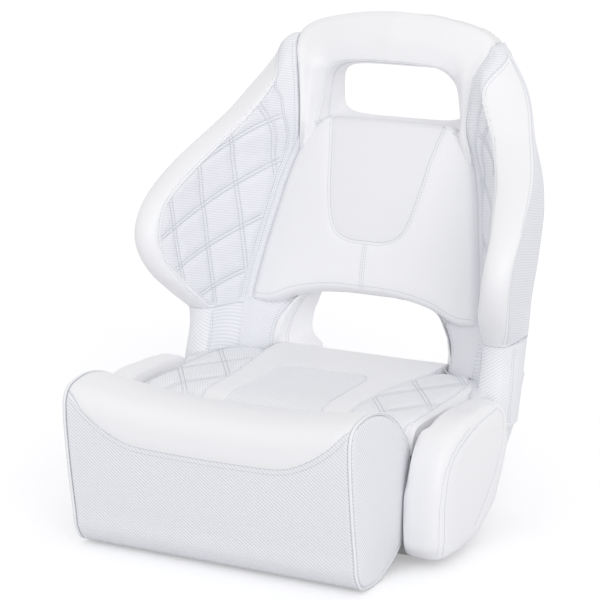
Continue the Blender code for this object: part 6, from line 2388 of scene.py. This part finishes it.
@dataclass
class Studio:
    """The plain stage: a pale floor, a soft studio light and the camera at the photograph's angle."""

    camera_place: tuple[float, float, float] = (1.50783589, -2.96582318, 1.18126614)
    camera_pitch: float = 14.387
    camera_turn: float = 27.206
    lens: float = 138.0
    ambient: float = 0.815
    key: float = 0.84
    key_turn: tuple[float, float, float] = (69.0, 0.0, 40.0)
    key_spread: float = 50.0
    floor_half: float = 12.0
    floor_glow: float = 0.30

    def make(self) -> None:
        """Builds the camera, floor, light and world."""
        scene = bpy.context.scene
        data = bpy.data.cameras.new("photo_camera")
        data.lens = self.lens
        data.sensor_width = 36.0
        data.clip_end = 60.0
        camera = bpy.data.objects.new("photo_camera", data)
        camera.location = self.camera_place
        camera.rotation_euler = (math.radians(90 - self.camera_pitch), 0, math.radians(self.camera_turn))
        scene.collection.objects.link(camera)
        scene.camera = camera
        scene.view_settings.view_transform = "Standard"
        self.light(scene)
        self.floor()

    def seen(self, tree: bpy.types.NodeTree) -> bpy.types.NodeSocket:
        """Adds nodes that give 1 to rays from the camera and in reflections, and 0 to other rays.

        Args:
            tree: the node tree.

        Returns:
            Their output.
        """
        camera = add_node(tree, "LightPath", out="Is Camera Ray")
        glossy = add_node(tree, "LightPath", out="Is Glossy Ray")
        return add_node(tree, "Math", {"operation": "MAXIMUM", 0: camera, 1: glossy})

    def light(self, scene: bpy.types.Scene) -> None:
        """Sets the white surroundings and one broad soft key light.

        Args:
            scene: the scene to light.
        """
        world = bpy.data.worlds.new("white_studio")
        scene.world = world
        world.use_nodes = True
        tree = world.node_tree
        through = add_node(tree, "LightPath", out="Is Transmission Ray")
        clear = add_node(tree, "Math", {"operation": "MAXIMUM", 0: self.seen(tree), 1: through})
        level = add_node(tree, "MapRange", {"To Min": self.ambient, "To Max": 1.0, "Value": clear})
        fill_node(tree.nodes["Background"], {"Color": (1.0, 1.0, 1.0, 1.0), "Strength": level})
        data = bpy.data.lights.new("soft_key", "SUN")
        data.energy = self.key
        data.angle = math.radians(self.key_spread)
        lamp = bpy.data.objects.new("soft_key", data)
        lamp.rotation_euler = tuple(math.radians(part) for part in self.key_turn)
        scene.collection.objects.link(lamp)

    def floor(self) -> None:
        """Lays a pale floor that shows white to the camera and keeps the seat's shadow."""
        half = self.floor_half
        material = bpy.data.materials.new("pale_studio_floor")
        material.use_nodes = True
        tree = material.node_tree
        tree.nodes.remove(tree.nodes["Principled BSDF"])
        paint = add_node(tree, "BsdfDiffuse", {"Color": "#E8E8EA"})
        level = add_node(tree, "Math", {"operation": "MULTIPLY", 0: self.seen(tree), 1: self.floor_glow})
        glow = add_node(tree, "Emission", {"Color": (1.0, 1.0, 1.0, 1.0), "Strength": level})
        both = add_node(tree, "AddShader", {0: paint, 1: glow})
        fill_node(tree.nodes["Material Output"], {"Surface": both})
        corners = np.array([(-half, -half, 0), (half, -half, 0), (half, half, 0), (-half, half, 0)])
        ground = new_object("studio_floor", corners, [(0, 1, 2, 3)], material)


def main() -> None:
    logging.basicConfig(level=logging.INFO, format="%(name)s: %(message)s")
    smooth = MarineVinyl("smooth_marine_vinyl").material()
    shop = Workshop(SeatSizes(), Thread().material(), SeamShadow().material(), smooth)
    for assembly in (Bolster, SeatCushion, HipPads, Wings, Backrest, TrimPanels):
        assembly(shop).make()
    HardParts().dress()
    Studio().make()


if __name__ == "__main__":
    main()
